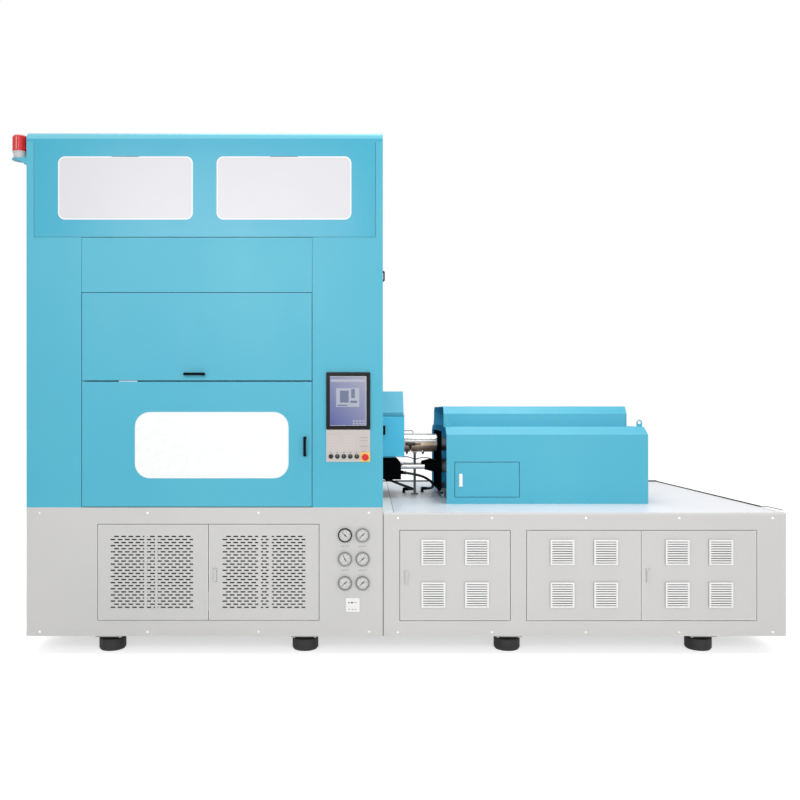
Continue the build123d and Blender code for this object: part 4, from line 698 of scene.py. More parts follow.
# Where the sheets are screwed down: points by side, facing -Y, +Y, -X or +X
facings = {"front": (quarterTurn, 0.0, 0.0), "rear": (-quarterTurn, 0.0, 0.0), "left": (0.0, -quarterTurn, 0.0),
           "right": (0.0, quarterTurn, 0.0)}
sheetScrews = {"radius": 8, "height": 2.4, "recess": 1.8, "seed": 7, "sunk": 0.2, "rearProud": 0.8,
               "towerRows": (878, 141), "towerColumns": (81, 750, 1438, 2124), "wingRows": (846, 138),
               "wingColumns": (2303, 2886, 3469, 4049, 4628), "depths": (150, 620, 1100, 1580, 2050),
               "sideRows": (960, 3130), "rearRows": (960, 1500, 2050, 2600, 3130),
               "rearColumns": (30, 1080, 1130, 2180)}
coverScrews = {"radius": 6, "recess": 1.5, "seed": 3, "first": 2690, "last": 4000, "pitch": 180, "front": 464,
               "height": 897}


def addScrews():
    tree = screwTree()
    given = sheetScrews
    sunk, flush = given["sunk"], given["height"] - given["rearProud"]
    rearFace, rightFace = (towerFar.y - towerCorner.y) * 1000, machineWidth
    base = [(x, z) for z in given["towerRows"] for x in given["towerColumns"]]
    base += [(x, z) for z in given["wingRows"] for x in given["wingColumns"]]
    rear = [(x, z) for z in given["rearRows"] for x in given["rearColumns"]] + base

    def sideways(x, rows):
        return [(x, y, z) for z in given[rows] for y in given["depths"]]
    fields = {
        "front": [(x, sunk, z) for x, z in base],
        "left": sideways(sunk, "towerRows") + sideways(sunk, "sideRows"),
        "right": sideways(towerWidth - sunk, "sideRows") + sideways(rightFace - flush, "wingRows"),
        "rear": [(x, rearFace - flush, z) for x, z in rear],
    }
    for side, places in fields.items():
        grown("sheetScrews_" + side, tree, pointMesh("screwPlaces", places), {
            "Head Radius": given["radius"] / 1000, "Head Height": given["height"] / 1000,
            "Recess Width": given["recess"] / 1000, "Facing": facings[side], "Turn Seed": given["seed"],
            "Finish": extra["screwZinc"]}, "machine")
    cover = coverScrews
    places = [(x, cover["front"], cover["height"]) for x in range(cover["first"], cover["last"], cover["pitch"])]
    grown("coverScrews", tree, pointMesh("coverPlaces", places), {
        "Head Radius": cover["radius"] / 1000, "Head Height": given["height"] / 1000,
        "Recess Width": cover["recess"] / 1000, "Facing": facings["front"], "Turn Seed": cover["seed"],
        "Finish": finishes["blue_paint"]}, "machine")


addScrews()
print("screws in")

# Ventilation doors: a folded pan with a staggered field of slots, two stiffeners behind it and a filter mat
ventDoors = {"slotLength": 31, "slotHeight": 8.6, "acrossPitch": 44.5, "upPitch": 19.1, "columns": 13, "rows": 24,
             "lowRow": 293, "fieldWidth": 545, "sheet": 3, "deep": 14, "low": 215, "high": 806, "pinReach": 10,
             "latchX": 1171, "latchZ": 494.5}
ventPanels = {  # left and right edge, hinge side, where the slots begin, and the three windows that they show in
    "vent_door_left": (444, 1126, "left", 520, ((522, 731), (747, 798), (813, 1033))),
    "vent_door_right": (1130, 1812, "right", 1215, ((1213, 1437), (1453, 1502), (1520, 1729))),
}


def slotTree():
    tree, given, made = growTree("slottedSheet", {
        "Slot Length": "Float", "Slot Height": "Float", "Across Pitch": "Float", "Up Pitch": "Float",
        "Columns": "Int", "Rows": "Int", "Low Row": "Float", "Front": "Float", "Field Start": "Float",
        "Field Width": "Float", "First Window": "Vector", "Second Window": "Vector", "Third Window": "Vector"})
    across, up, front, slotLength = given["Across Pitch"], given["Up Pitch"], given["Front"], given["Slot Length"]
    outline = wired(tree, "GeometryNodeCurvePrimitiveQuadrilateral", {"Width": slotLength,
                                                                      "Height": given["Slot Height"]})
    turn = mathStep(tree, "MULTIPLY", given["Slot Height"], 0.49)
    rounded = wired(tree, "GeometryNodeFilletCurve", {"Curve": outline, "Radius": turn, "Count": 3}, mode="POLY")
    filled = wired(tree, "GeometryNodeFillCurve", {"Curve": rounded}, mode="NGONS")
    raised = wired(tree, "GeometryNodeExtrudeMesh", {"Mesh": filled, "Offset Scale": 0.03})
    turned = wired(tree, "GeometryNodeFlipFaces", {"Mesh": filled})
    closed = wired(tree, "GeometryNodeJoinGeometry", {"Geometry": [turned, raised]})
    welded = wired(tree, "GeometryNodeMergeByDistance", {"Geometry": closed, "Distance": 0.00001})
    upright = wired(tree, "GeometryNodeTransform", {"Geometry": welded, "Rotation": (math.radians(90), 0, 0),
                                                    "Translation": (0, 0.015, 0)})
    wide = mathStep(tree, "MULTIPLY", mathStep(tree, "SUBTRACT", given["Columns"], 1), across)
    tall = mathStep(tree, "MULTIPLY", mathStep(tree, "SUBTRACT", given["Rows"], 1), up)
    place = axesOf(tree, wired(tree, "GeometryNodeInputPosition", {}))
    along = mathStep(tree, "ADD", place["X"], mathStep(tree, "MULTIPLY", wide, 0.5))
    height = mathStep(tree, "ADD", place["Y"], mathStep(tree, "MULTIPLY", tall, 0.5))
    row = mathStep(tree, "ROUND", mathStep(tree, "DIVIDE", height, up))
    stagger = mathStep(tree, "MULTIPLY", mathStep(tree, "MULTIPLY", mathStep(tree, "MODULO", row, 2.0), 0.5), across)
    shifted = mathStep(tree, "ADD", along, stagger)
    inField = mathStep(tree, "LESS_THAN", shifted, given["Field Width"])
    start = mathStep(tree, "ADD", given["Field Start"], mathStep(tree, "MULTIPLY", slotLength, 0.5))
    field = wired(tree, "GeometryNodeMeshGrid", {"Size X": wide, "Size Y": tall, "Vertices X": given["Columns"],
                                                 "Vertices Y": given["Rows"]})
    outside = mathStep(tree, "SUBTRACT", 1.0, inField)
    kept = wired(tree, "GeometryNodeDeleteGeometry", {"Geometry": field, "Selection": outside}, domain="POINT")
    seat = vectorOf(tree, mathStep(tree, "ADD", start, shifted), front, mathStep(tree, "ADD", given["Low Row"], height))
    points = wired(tree, "GeometryNodeSetPosition", {"Geometry": kept, "Position": seat})
    slots = wired(tree, "GeometryNodeRealizeInstances", {"Geometry": spread(tree, points, upright)})
    panes = []
    for label in ("First Window", "Second Window", "Third Window"):
        edges = axesOf(tree, given[label])
        size = vectorOf(tree, mathStep(tree, "SUBTRACT", edges["Y"], edges["X"]), 0.2, 2.0)
        middle = mathStep(tree, "MULTIPLY", mathStep(tree, "ADD", edges["X"], edges["Y"]), 0.5)
        pane = wired(tree, "GeometryNodeMeshCube", {"Size": size})
        panes.append(wired(tree, "GeometryNodeTransform", {"Geometry": pane,
                                                           "Translation": vectorOf(tree, middle, front, 0.5)}))
    windows = wired(tree, "GeometryNodeJoinGeometry", {"Geometry": panes})
    clipped = wired(tree, "GeometryNodeMeshBoolean", {"Mesh 2": [slots, windows]}, operation="INTERSECT",
                    solver="EXACT")
    cut = wired(tree, "GeometryNodeMeshBoolean", {"Mesh 1": given["Geometry"], "Mesh 2": clipped},
                operation="DIFFERENCE", solver="EXACT")
    return finishTree(tree, cut, given, made)


# One folded pan: an open tray, its skin to the front
def addTray(form, left, right, low, high, front, deep, sheet):
    outer = [(left, low), (right, low), (right, high), (left, high)]
    inner = [(left + sheet, low + sheet), (right - sheet, low + sheet), (right - sheet, high - sheet),
             (left + sheet, high - sheet)]
    rings = [[form.verts.new(spot(x, y, z)) for x, z in corners]
             for corners, y in ((outer, front), (outer, front + deep), (inner, front + deep), (inner, front + sheet))]
    joinLoops(form, rings)
    form.faces.new(rings[0])
    form.faces.new(rings[-1][::-1])


# The latch's seat: a base plate and two ears for its pin
def addLatchSeat(form, x, z):
    half, tall, ear = 11.5, 43.5, 4.7
    addPlate(form, (x - half, -4, z - tall), (x + half, 0, z + tall))
    pin = z + tall - 6.7
    for left in (x - half, x + half - 3):
        addPlate(form, (left, -13.4, pin - ear), (left + 3, -3.5, pin + ear), 0.6)


def addVentDoor(name, tree):
    left, right, hinge, fieldStart, windows = ventPanels[name]
    given = ventDoors
    form = bmesh.new()
    addTray(form, left, right, given["low"], given["high"], 0, given["deep"], given["sheet"])
    firstWindow, secondWindow, thirdWindow = [
        (towerCorner.x + low / 1000, towerCorner.x + high / 1000, 0.0) for low, high in windows]
    skin = grown(name + "_skin", tree, meshFrom("ventTray", form), {
        "First Window": firstWindow, "Second Window": secondWindow, "Third Window": thirdWindow,
        "Slot Length": given["slotLength"] / 1000, "Slot Height": given["slotHeight"] / 1000,
        "Across Pitch": given["acrossPitch"] / 1000, "Up Pitch": given["upPitch"] / 1000,
        "Columns": given["columns"], "Rows": given["rows"], "Low Row": given["lowRow"] / 1000,
        "Front": towerCorner.y, "Field Start": towerCorner.x + fieldStart / 1000,
        "Field Width": (given["fieldWidth"] - given["slotLength"]) / 1000, "Finish": finishes["grey_paint"]},
        name)
    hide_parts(name)
    form = bmesh.new()
    x = left + 6 if hinge == "left" else right - 6
    for low, high in ((given["low"] - given["pinReach"], given["low"]),
                      (given["high"], given["high"] + given["pinReach"])):
        addTurned(form, (x, 7, 0), "z", [(low, 0), (low, 2.4), (low + 1, 3), (high, 3), (high, 0)], 16)
    formPiece(name + "_pins", form, finishes["machined_steel"], name)
    form = bmesh.new()
    top = given["lowRow"] + given["rows"] * given["upPitch"]
    for before, after in zip(windows, windows[1:]):
        addPlate(form, (before[1] + 1, 3.1, given["lowRow"] - 20), (after[0] - 1, 6, top + 8), 0.5)
    formPiece(name + "_stiffeners", form, finishes["grey_paint"], name)
    platePiece(name + "_filter", [((left + 30, 7, given["low"] + 30), (right - 30, 12, given["high"] - 30))], 1,
               extra["filterFelt"], name)
    if name == "vent_door_right":
        form = bmesh.new()
        addLatchSeat(form, given["latchX"], given["latchZ"])
        formPiece(name + "_latchSeat", form, extra["latchGrey"], name)
    print(name, "slotted:", len(skin.data.polygons), "faces")


ventTree = slotTree()
for name in ventPanels:
    addVentDoor(name, ventTree)


# Louvred doors: a grey pad behind each grille, held on the door
louvrePads = {"spacing": 270, "heights": (370, 634), "width": 150, "height": 158, "front": 5, "thick": 6}


# The middles of a louvred door's four openings
def louvreCentres(name):
    low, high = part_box(name)
    middle = ((low.x + high.x) / 2 - towerCorner.x) * 1000
    return [(middle + side * louvrePads["spacing"] / 2, z) for side in (-1, 1) for z in louvrePads["heights"]]


for name in louvreDoors:
    form = bmesh.new()
    half, tall = louvrePads["width"] / 2, louvrePads["height"] / 2
    for x, z in louvreCentres(name):
        addPlate(form, (x - half, louvrePads["front"], z - tall),
                 (x + half, louvrePads["front"] + louvrePads["thick"], z + tall), 1)
    formPiece(name + "_pads", form, extra["padGrey"], name)


# A rounded rectangular ring in the front plane
def addFrame(form, left, right, low, high, corner, width, front, back, steps=8, bevel=None):
    def outline(inset):
        places = []
        radius = max(corner - inset, 0.5)
        for cx, cz, start in ((right, high, 0), (left, high, 90), (left, low, 180), (right, low, 270)):
            x = cx - math.copysign(inset + radius, cx - (left + right) / 2)
            z = cz - math.copysign(inset + radius, cz - (low + high) / 2)
            for step in range(steps + 1):
                angle = math.radians(start + 90 * step / steps)
                places.append((x + radius * math.cos(angle), z + radius * math.sin(angle)))
        return places
    ease = bevel or min(1.0, width / 4)
    turn = min(ease, width / 3)
    rings = [(0, back), (0, front + ease), (turn, front), (width - turn, front), (width, front + ease), (width, back)]
    loops = [[form.verts.new(spot(x, y, z)) for x, z in outline(inset)] for inset, y in rings]
    joinLoops(form, loops + loops[:1])


# Windows: pale gaskets round the panes, and a dark strip of painted shade in the gap at the top of each header window
gasket = {"width": 8, "proud": 1.2, "headerCentres": (613.5, 1596.5), "headerWidth": 836, "headerLow": 2697,
          "headerHeight": 392, "headerCorner": 43, "gapShadeWidth": 170, "door": (672, 1625, 1093, 1504, 93)}


def addWindowTrim():
    form = bmesh.new()
    lips = bmesh.new()
    top = gasket["headerLow"] + gasket["headerHeight"]
    for middle in gasket["headerCentres"]:
        half = gasket["headerWidth"] / 2
        addFrame(form, middle - half, middle + half, gasket["headerLow"], top, gasket["headerCorner"],
                 gasket["width"], -gasket["proud"], 1)
        # A dark strip at the window's top: painted shade in the gap between panel and window
        lip = gasket["gapShadeWidth"] / 2
        addPlate(lips, (middle - lip, -1.6, top - 3), (middle + lip, 1, top + 1), 0.7)
    formPiece("headerGaskets", form, extra["gasketWhite"], "machine")
    formPiece("headerGapShades", lips, extra["lipShade"], "machine")
    form = bmesh.new()
    left, right, low, high, corner = gasket["door"]
    addFrame(form, left, right, low, high, corner, gasket["width"], -gasket["proud"], 1)
    formPiece("doorGasket", form, extra["gasketWhite"], "lower_door")


addWindowTrim()

# Operator panel: the screen's plain picture, the two key fields, blank covers and pale marks
screenArea = {"left": 1880, "right": 2106, "low": 1419.5, "high": 1725.5, "front": -12}
screenGlow = 0.66
controls = {"first": 1888, "pitch": 40, "height": 1229, "markFront": -24.6, "markBack": -23.7}
keyFields = {  # place of the lowest left key, columns, rows, key width, height and rise, pitch across and up
    "leftKeys": ((1880, panelEdges["plateFront"], 1284), 4, 5, 13, 12, 0.8, 16.6, 17),
    "rightKeys": ((1974, panelEdges["plateFront"], 1284), 4, 5, 14, 12, 0.8, 18.4, 17),
    "screenIcons": ((2030, screenArea["front"], 1432), 4, 2, 13, 9, 0.2, 20, 16),
}
panelCovers = {"raised": ((2065, 2117, 1309, 1343), (2065, 2117, 1276, 1291), (1870, 1946, 1366, 1367.5),
                          (1966, 2040, 1366, 1367.5)),
               "fields": ((1871, 1938, 1276, 1364), (1967, 2040, 1276, 1364)),
               "lines": ((2066, 2116, 1344), (2070, 2112, 1327), (2066, 2116, 1292), (2074, 2108, 1259.5))}
screenTiles = {  # left, right, low, high, how far in front of the screen
    "card": (1920, 2064, 1536, 1652, 0.2), "bar": (1888, 2098, 1690, 1706, 0.2),
    "strip": (1928, 1990, 1541, 1549, 0.4), "block": (1944, 1998, 1562, 1636, 0.4),
    "disc": (2008, 2050, 1560, 1574, 0.4), "list": (2014, 2036, 1590, 1646, 0.4),
}


# A lit picture: one tone at the lower left corner, another at the upper right, with fine lines across
def flatFinish(name, low, high, lowest, highest):
    material, tree, principled = newMaterial(name)
    place = axesOf(tree, wired(tree, "ShaderNodeTexCoord", {}, "Object"))
    along = mathStep(tree, "ADD", place["X"], place["Z"])
    climb = wired(tree, "ShaderNodeMapRange", {"Value": along, "From Min": lowest, "From Max": highest}, "Result")
    shade = addNode(tree, "ShaderNodeValToRGB")
    shade.color_ramp.elements[0].color = srgb(*low)
    shade.color_ramp.elements[1].color = srgb(*high)
    scan = wired(tree, "ShaderNodeTexWave", {"Scale": 260, "Distortion": 0}, "Fac", wave_type="BANDS",
                 bands_direction="Z")
    lines = mathStep(tree, "ADD", mathStep(tree, "MULTIPLY", scan, 0.08), 0.12)
    feed(tree, [(climb, shade.inputs["Fac"]), (shade.outputs["Color"], principled.inputs["Emission Color"]),
                (lines, principled.inputs["Roughness"])])
    principled.inputs["Base Color"].default_value = (0.01, 0.01, 0.012, 1)
    principled.inputs["Emission Strength"].default_value = screenGlow
    return material


def addOperatorDetail():
    area = screenArea
    lowest = towerCorner.x + (area["left"] + area["low"]) / 1000
    highest = towerCorner.x + (area["right"] + area["high"]) / 1000
    picture = flatFinish("screenPicture", (88, 104, 184), (196, 198, 222), lowest, highest)
    pale = flatFinish("screenCard", (196, 204, 226), (214, 220, 236), lowest, highest)
    ink = flatFinish("screenInk", (120, 132, 164), (136, 148, 178), lowest, highest)
    repaint("operator_panel", picture, x=(area["left"] - 0.5, area["right"] + 0.5), y=(-12.3, -11.7),
            z=(area["low"] - 1, area["high"] + 1))
    sheets = {"card": bmesh.new(), "ink": bmesh.new()}
    for name, (left, right, low, high, proud) in screenTiles.items():
        target = sheets["card" if name in ("card", "bar") else "ink"]
        addPlate(target, (left, area["front"] - proud, low), (right, area["front"] + 0.3, high), 0.1)
    for name, material in (("card", pale), ("ink", ink)):
        formPiece("screenTiles_" + name, sheets[name], material, "machine")
    tree = keyTree()
    plate = panelEdges["plateFront"]
    for name, (place, columns, rows, wide, tall, rise, across, up) in keyFields.items():
        grown("panel_" + name, tree, pointMesh(name, [place]), {
            "Columns": columns, "Rows": rows, "Key Width": wide / 1000, "Key Height": tall / 1000,
            "Across Pitch": across / 1000, "Up Pitch": up / 1000, "Key Rise": rise / 1000,
            "Finish": pale if name == "screenIcons" else extra["keyCream"]}, "machine")
    form = bmesh.new()
    for left, right, low, high in panelCovers["raised"]:
        addPlate(form, (left, plate - 0.9, low), (right, plate + 0.5, high), 0.5)
    for left, right, low, high in panelCovers["fields"]:
        addPlate(form, (left, plate - 0.4, low), (right, plate + 0.5, high), 0.2)
    formPiece("panelCovers", form, extra["coverGrey"], "machine")
    form = bmesh.new()
    for i in range(5):
        x = controls["first"] + controls["pitch"] * i
        addPlate(form, (x - 6, plate - 0.5, 1252), (x + 5, plate + 0.5, 1255.5), 0.2)
        addPlate(form, (x - 2, plate - 0.5, 1257), (x + 4, plate + 0.5, 1258.5), 0.2)
    for left, right, z in panelCovers["lines"]:
        addPlate(form, (left, plate - 1.1, z), (right, plate + 0.5, z + 1.6), 0.2)
    formPiece("panelMarks", form, extra["labelInk"], "machine")
    form = bmesh.new()
    addFrame(form, area["left"] - 0.5, area["right"] + 0.5, area["low"] - 0.5, area["high"] + 0.5, 0.8, 2.6,
             area["front"] - 0.5, area["front"] + 0.2, 2)
    formPiece("screenEdge", form, extra["markWhite"], "machine")
    for i in range(1, 5):
        x, z = controls["first"] + controls["pitch"] * i, controls["height"]
        near, far = controls["markFront"], controls["markBack"]
        platePiece(f"selectorMark_{i}", [((x - 0.9, near, z + 1), (x + 0.9, far, z + 8.4))], 0.2,
                   extra["markWhite"], f"selector_{i}")


# Keys in rows and columns, eased at their edges, from the lowest left one
def keyTree():
    tree, given, made = growTree("keyField", {
        "Columns": "Int", "Rows": "Int", "Key Width": "Float", "Key Height": "Float", "Across Pitch": "Float",
        "Up Pitch": "Float", "Key Rise": "Float"})
    deep = mathStep(tree, "MULTIPLY", given["Key Rise"], 2.0)
    size = vectorOf(tree, given["Key Width"], deep, given["Key Height"])
    base = wired(tree, "GeometryNodeMeshCube", {"Size": size})
    front = mathStep(tree, "LESS_THAN", axesOf(tree, wired(tree, "GeometryNodeInputNormal", {}))["Y"], -0.5)
    capped = wired(tree, "GeometryNodeExtrudeMesh", {"Mesh": base, "Selection": front, "Offset Scale": 0.0003},
                   mode="FACES")
    shrunk = wired(tree, "GeometryNodeScaleElements", {
        "Geometry": capped, "Selection": capped.node.outputs["Top"], "Scale": 0.86}, domain="FACE")
    row = wired(tree, "GeometryNodeMeshLine", {"Count": given["Columns"],
                                               "Offset": vectorOf(tree, given["Across Pitch"])}, mode="OFFSET")
    column = wired(tree, "GeometryNodeMeshLine", {"Count": given["Rows"], "Offset": vectorOf(
        tree, 0.0, 0.0, given["Up Pitch"])}, mode="OFFSET")
    field = spread(tree, column, spread(tree, row, shrunk))
    return finishTree(tree, spread(tree, given["Geometry"], field), given, made)


addOperatorDetail()
print("operator panel dressed")

# Gauges: pale dials with ticks and plain numbers, rolled rims, thin covers, and blank plates between the rows
gauges = {"columns": (1975, 2084), "rows": (741, 593, 444), "dialRadius": 38, "dialFront": -5.2, "tickOuter": 35,
          "tickLength": 4.5, "tickWidth": 0.8, "ticks": 31, "longEvery": 6, "sweep": 270,
          "numberRadius": 25.5, "numberHeight": 6.5,
          "numbers": (0, 5, 10, 15, 20, 25), "rimOuter": 43.5, "rimInner": 36.6, "rimFront": -16}


def tickTree():
    tree, given, made = growTree("dialTicks", {
        "Ticks": "Int", "Sweep": "Float", "Outer Radius": "Float", "Tick Length": "Float", "Tick Width": "Float",
        "Long Every": "Int"})
    index = wired(tree, "GeometryNodeInputIndex", {})
    share = mathStep(tree, "DIVIDE", index, mathStep(tree, "SUBTRACT", given["Ticks"], 1))
    angle = mathStep(tree, "MULTIPLY", mathStep(tree, "SUBTRACT", share, 0.5), given["Sweep"])
    middle = mathStep(tree, "SUBTRACT", given["Outer Radius"],
                      mathStep(tree, "MULTIPLY", given["Tick Length"], 0.5))
    place = vectorOf(tree, mathStep(tree, "MULTIPLY", middle, mathStep(tree, "SINE", angle)), 0.0,
                     mathStep(tree, "MULTIPLY", middle, mathStep(tree, "COSINE", angle)))
    line = wired(tree, "GeometryNodeMeshLine", {"Count": given["Ticks"]}, mode="OFFSET")
    seat = wired(tree, "GeometryNodeSetPosition", {"Geometry": line, "Position": place})
    size = vectorOf(tree, given["Tick Width"], 0.0003, given["Tick Length"])
    bar = wired(tree, "GeometryNodeMeshCube", {"Size": size})
    turn = wired(tree, "FunctionNodeEulerToRotation", {"Euler": vectorOf(tree, 0.0, angle)})
    isLong = mathStep(tree, "LESS_THAN", mathStep(tree, "MODULO", index, given["Long Every"]), 0.5)
    scale = mathStep(tree, "ADD", mathStep(tree, "MULTIPLY", isLong, 0.7), 0.8)
    ring = spread(tree, seat, bar, Rotation=turn, Scale=vectorOf(tree, scale, 1.0, scale))
    return finishTree(tree, spread(tree, given["Geometry"], ring), given, made)


# Plain numbers as one mesh: each is set at its height, then moved to its place
def numberMesh(name, entries, height):
    form = bmesh.new()
    for text, (x, y, z) in entries:
        curve = bpy.data.curves.new(name + "Text", "FONT")
        curve.body = text
        curve.size = height / 1000
        curve.extrude = 0.0001
        curve.align_x, curve.align_y = "CENTER", "CENTER"
        curve.resolution_u = 2
        glyphs = solidOf(linked(name + "Text", curve))
        glyphs.transform(Matrix.Translation(spot(x, y, z)) @ Matrix.Rotation(math.radians(90), 4, "X"))
        form.from_mesh(glyphs)
    bmesh.ops.remove_doubles(form, verts=form.verts, dist=0.000001)
    return meshFrom(name, form)


def addGauges():
    given = gauges
    centres = [(x, z) for z in given["rows"] for x in given["columns"]]
    dials, rims, blackRim, covers, plates, bosses = (bmesh.new() for _ in range(6))
    entries = []
    front = given["dialFront"]
    for i, (x, z) in enumerate(centres):
        addTurned(dials, (x, 0, z), "y", [(-4.6, 0), (-4.6, given["dialRadius"]), (front + 0.05, given["dialRadius"]),
                                          (front, given["dialRadius"] - 0.4), (front, 0)], 40)
        rim = [(-12, given["rimInner"]), (-13.6, given["rimInner"]), (-15.4, given["rimInner"] + 1.2),
               (given["rimFront"], given["rimInner"] + 2.4), (-15.6, given["rimOuter"] - 1.2),
               (-14.4, given["rimOuter"]), (-12, given["rimOuter"])]
        addRing(blackRim if i == 0 else rims, (x, 0, z), rim, 48)
        addTurned(covers, (x, 0, z), "y", [(-11.6, 0), (-11.6, 38.2), (-12.4, 38.2), (-12.7, 20), (-12.8, 0)], 40)
        addTurned(bosses, (x, 0, z), "y", [(-9.5, 0), (-9.5, 4), (-10.5, 4.6), (-11, 3.4), (-11, 0)], 16)
        for j, number in enumerate(given["numbers"]):
            angle = math.radians(-given["sweep"] / 2 + given["sweep"] * j / (len(given["numbers"]) - 1))
            entries.append((str(number), (x + given["numberRadius"] * math.sin(angle), front - 0.1,
                                          z + given["numberRadius"] * math.cos(angle))))
    for x in given["columns"]:
        for upper, lower in zip(given["rows"], given["rows"][1:]):
            z = (upper + lower) / 2 + 4
            addPlate(plates, (x - 26, -0.9, z - 4.5), (x + 26, 0.5, z + 4.5), 0.3)
    formPiece("gaugeDials", dials, extra["dialWhite"], "machine")
    formPiece("gaugeRims", rims, finishes["gauge_steel"], "machine", True)
    formPiece("gaugeRimBlack", blackRim, extra["blackRim"], "machine", True)
    formPiece("gaugeCovers", covers, extra["coverGlass"], "machine", True)
    formPiece("gaugePlates", plates, extra["plateGrey"], "machine")
    formPiece("gaugeBosses", bosses, finishes["needle_black"], "machine")
    newPiece("gaugeNumbers", numberMesh("gaugeNumbers", entries, given["numberHeight"]), finishes["needle_black"],
             "machine")
    places = [(x, front - 0.1, z) for x, z in centres]
    grown("gaugeTicks", tickTree(), pointMesh("dialCentres", places), {
        "Ticks": given["ticks"], "Sweep": math.radians(given["sweep"]), "Outer Radius": given["tickOuter"] / 1000,
        "Tick Length": given["tickLength"] / 1000, "Tick Width": given["tickWidth"] / 1000,
        "Long Every": given["longEvery"],
        "Finish": finishes["needle_black"]}, "machine")


# A closed ring: its section, (place along Y, radius) pairs, turned about Y
def addRing(form, centre, section, steps):
    origin = spot(*centre)
    loops = []
    for step in range(steps):
        angle = 2 * math.pi * step / steps
        places = [Vector((radius * math.cos(angle), along, radius * math.sin(angle))) for along, radius in section]
        loops.append([form.verts.new(origin + place / 1000) for place in places])
    joinLoops(form, loops + loops[:1])


addGauges()
print("gauges dressed")

# Seals: dark rubber behind the door seams, and in the joint between the tower's base and the wing's
seals = {"front": 16.5, "back": 19.5, "width": 7, "vents": (440, 1816, 211, 810), "doorA": (2313, 3002, 208, 772),
         "doorsBC": (3100, 4530, 208, 772), "cover": (2704, 3146, 924, 1166), "coverFront": 464,
         "joint": (2210.3, 2212.7, 1, 19, 116, 866)}


def addSeals():
    form = bmesh.new()
    given = seals
    for name in ("vents", "doorA", "doorsBC", "cover"):
        left, right, low, high = given[name]
        back = given["coverFront"] if name == "cover" else 0
        addFrame(form, left, right, low, high, 1.5, given["width"], back + given["front"], back + given["back"], 2)
    left, right, front, back, low, high = given["joint"]
    addPlate(form, (left, front, low), (right, back, high), 0.3)
    formPiece("seamSeals", form, finishes["foot_rubber"], "machine")


addSeals()

# Deck: black beading along the rear and right edges, an edge wire, and a seam with a whiter strip beside the tower,
# painted light where the tower shades the deck
deckTrim = {"beadHeight": 7, "beadWidth": 9, "right": 4703, "rear": 2191, "left": 2213, "beadFront": 300,
            "seamX": 2276, "seamFront": 14, "seamRear": 2180, "thinRear": 200}


def addDeckTrim():
    given = deckTrim
    form = bmesh.new()
    top = deckTop + given["beadHeight"]
    right, rear, wide = given["right"], given["rear"], given["beadWidth"]
    addPlate(form, (right - wide, given["beadFront"], deckTop), (right, rear, top), 2)
    addPlate(form, (given["left"] + 4, rear - wide, deckTop), (right, rear, top + 4), 2)
    formPiece("deckBeading", form, finishes["black_steel"], "machine")
    pipePiece("edgeWire", [(right - 4, given["beadFront"] + 6, top - 3), (right - 4, given["thinRear"], top + 6),
                           (right - 3, given["seamFront"] + 4, top + 6)], 2.2, 20, finishes["black_steel"], "machine")
    seam, near, far = given["seamX"], given["seamFront"], given["seamRear"]
    platePiece("deckSeam", [((seam, near, deckTop), (seam + 3, far, deckTop + 0.8))], 0.3,
               extra["padGrey"], "machine")
    # A whiter strip between the tower and the seam: painted light on the shaded deck
    platePiece("deckLitStrip", [((given["left"] + 1, near, deckTop), (seam - 1, far, deckTop + 0.7))], 0.3,
               extra["gasketWhite"], "machine")


addDeckTrim()
print("seals and deck trim in")

# Barrel zone: a ribbed half shell over the bands with its flange, plugs, a sensor cable, an air pipe and a post
barrelZone = {"axisY": 1100, "axisZ": 1266, "shellLeft": 2373, "shellRight": 2634, "shellRadius": 70, "shellThick": 1.5,
              "shellSill": 16, "ribsAt": (2380, 2462, 2552, 2625), "ribWidth": 5, "ribThick": 1.6,
              "post": (2460, 2479), "flangeTab": (2550, 2630), "clipsAt": (2409, 2530), "plugOut": 12,
              "pipeStart": 2376, "pipeZ": 1362, "pipeEnd": 2456, "pipeDrop": 1332, "pipeOut": 18, "pipeRadius": 3.5,
              "pipeBend": 10, "nut": [(1326, 0), (1326, 7), (1334, 7), (1337, 5), (1341, 5), (1341, 0)],
              "cableRadius": 3.6, "cableBend": 24}
plugs = (  # place along X, height over the barrel's axis, own axis, profile and sides
    (2398, -2, "x", [(0, 0), (0, 9), (6, 12), (66, 12), (72, 9), (72, 0)], 20),
    (2470, -2, "x", [(0, 0), (0, 6), (34, 5), (40, 3.5), (40, 0)], 16),
    (2432, -44, "z", [(0, 0), (0, 4), (26, 9), (36, 11), (36, 0)], 18),
)
# The sensor cable's points: place along X, how far in front of the barrel's axis, and height
cablePoints = ((2380, 40, 1170), (2430, 40, 1164), (2468, 44, 1146), (2510, 40, 1160), (2575, 36, 1158),
               (2600, 34, 1146), (2634, 34, 1144))


# A half shell over a horizontal axis along X, its sides carried down to a sill above the axis
def addHalfShell(form, left, right, centreY, centreZ, radius, thick, sill, steps=28):
    start = math.asin(sill / radius)
    loops = []
    for x in (left, right):
        for r in (radius, radius - thick):
            line = []
            for step in range(steps + 1):
                angle = start + (math.pi - 2 * start) * step / steps
                line.append(form.verts.new(spot(x, centreY - r * math.cos(angle), centreZ + r * math.sin(angle))))
            loops.append(line)
    outerLeft, innerLeft, outerRight, innerRight = loops
    for i in range(steps):
        for a, b in ((outerLeft, outerRight), (innerRight, innerLeft), (innerLeft, outerLeft),
                     (outerRight, innerRight)):
            form.faces.new((a[i], a[i + 1], b[i + 1], b[i]))
    for i in (0, steps):
        form.faces.new((outerLeft[i], outerRight[i], innerRight[i], innerLeft[i]))


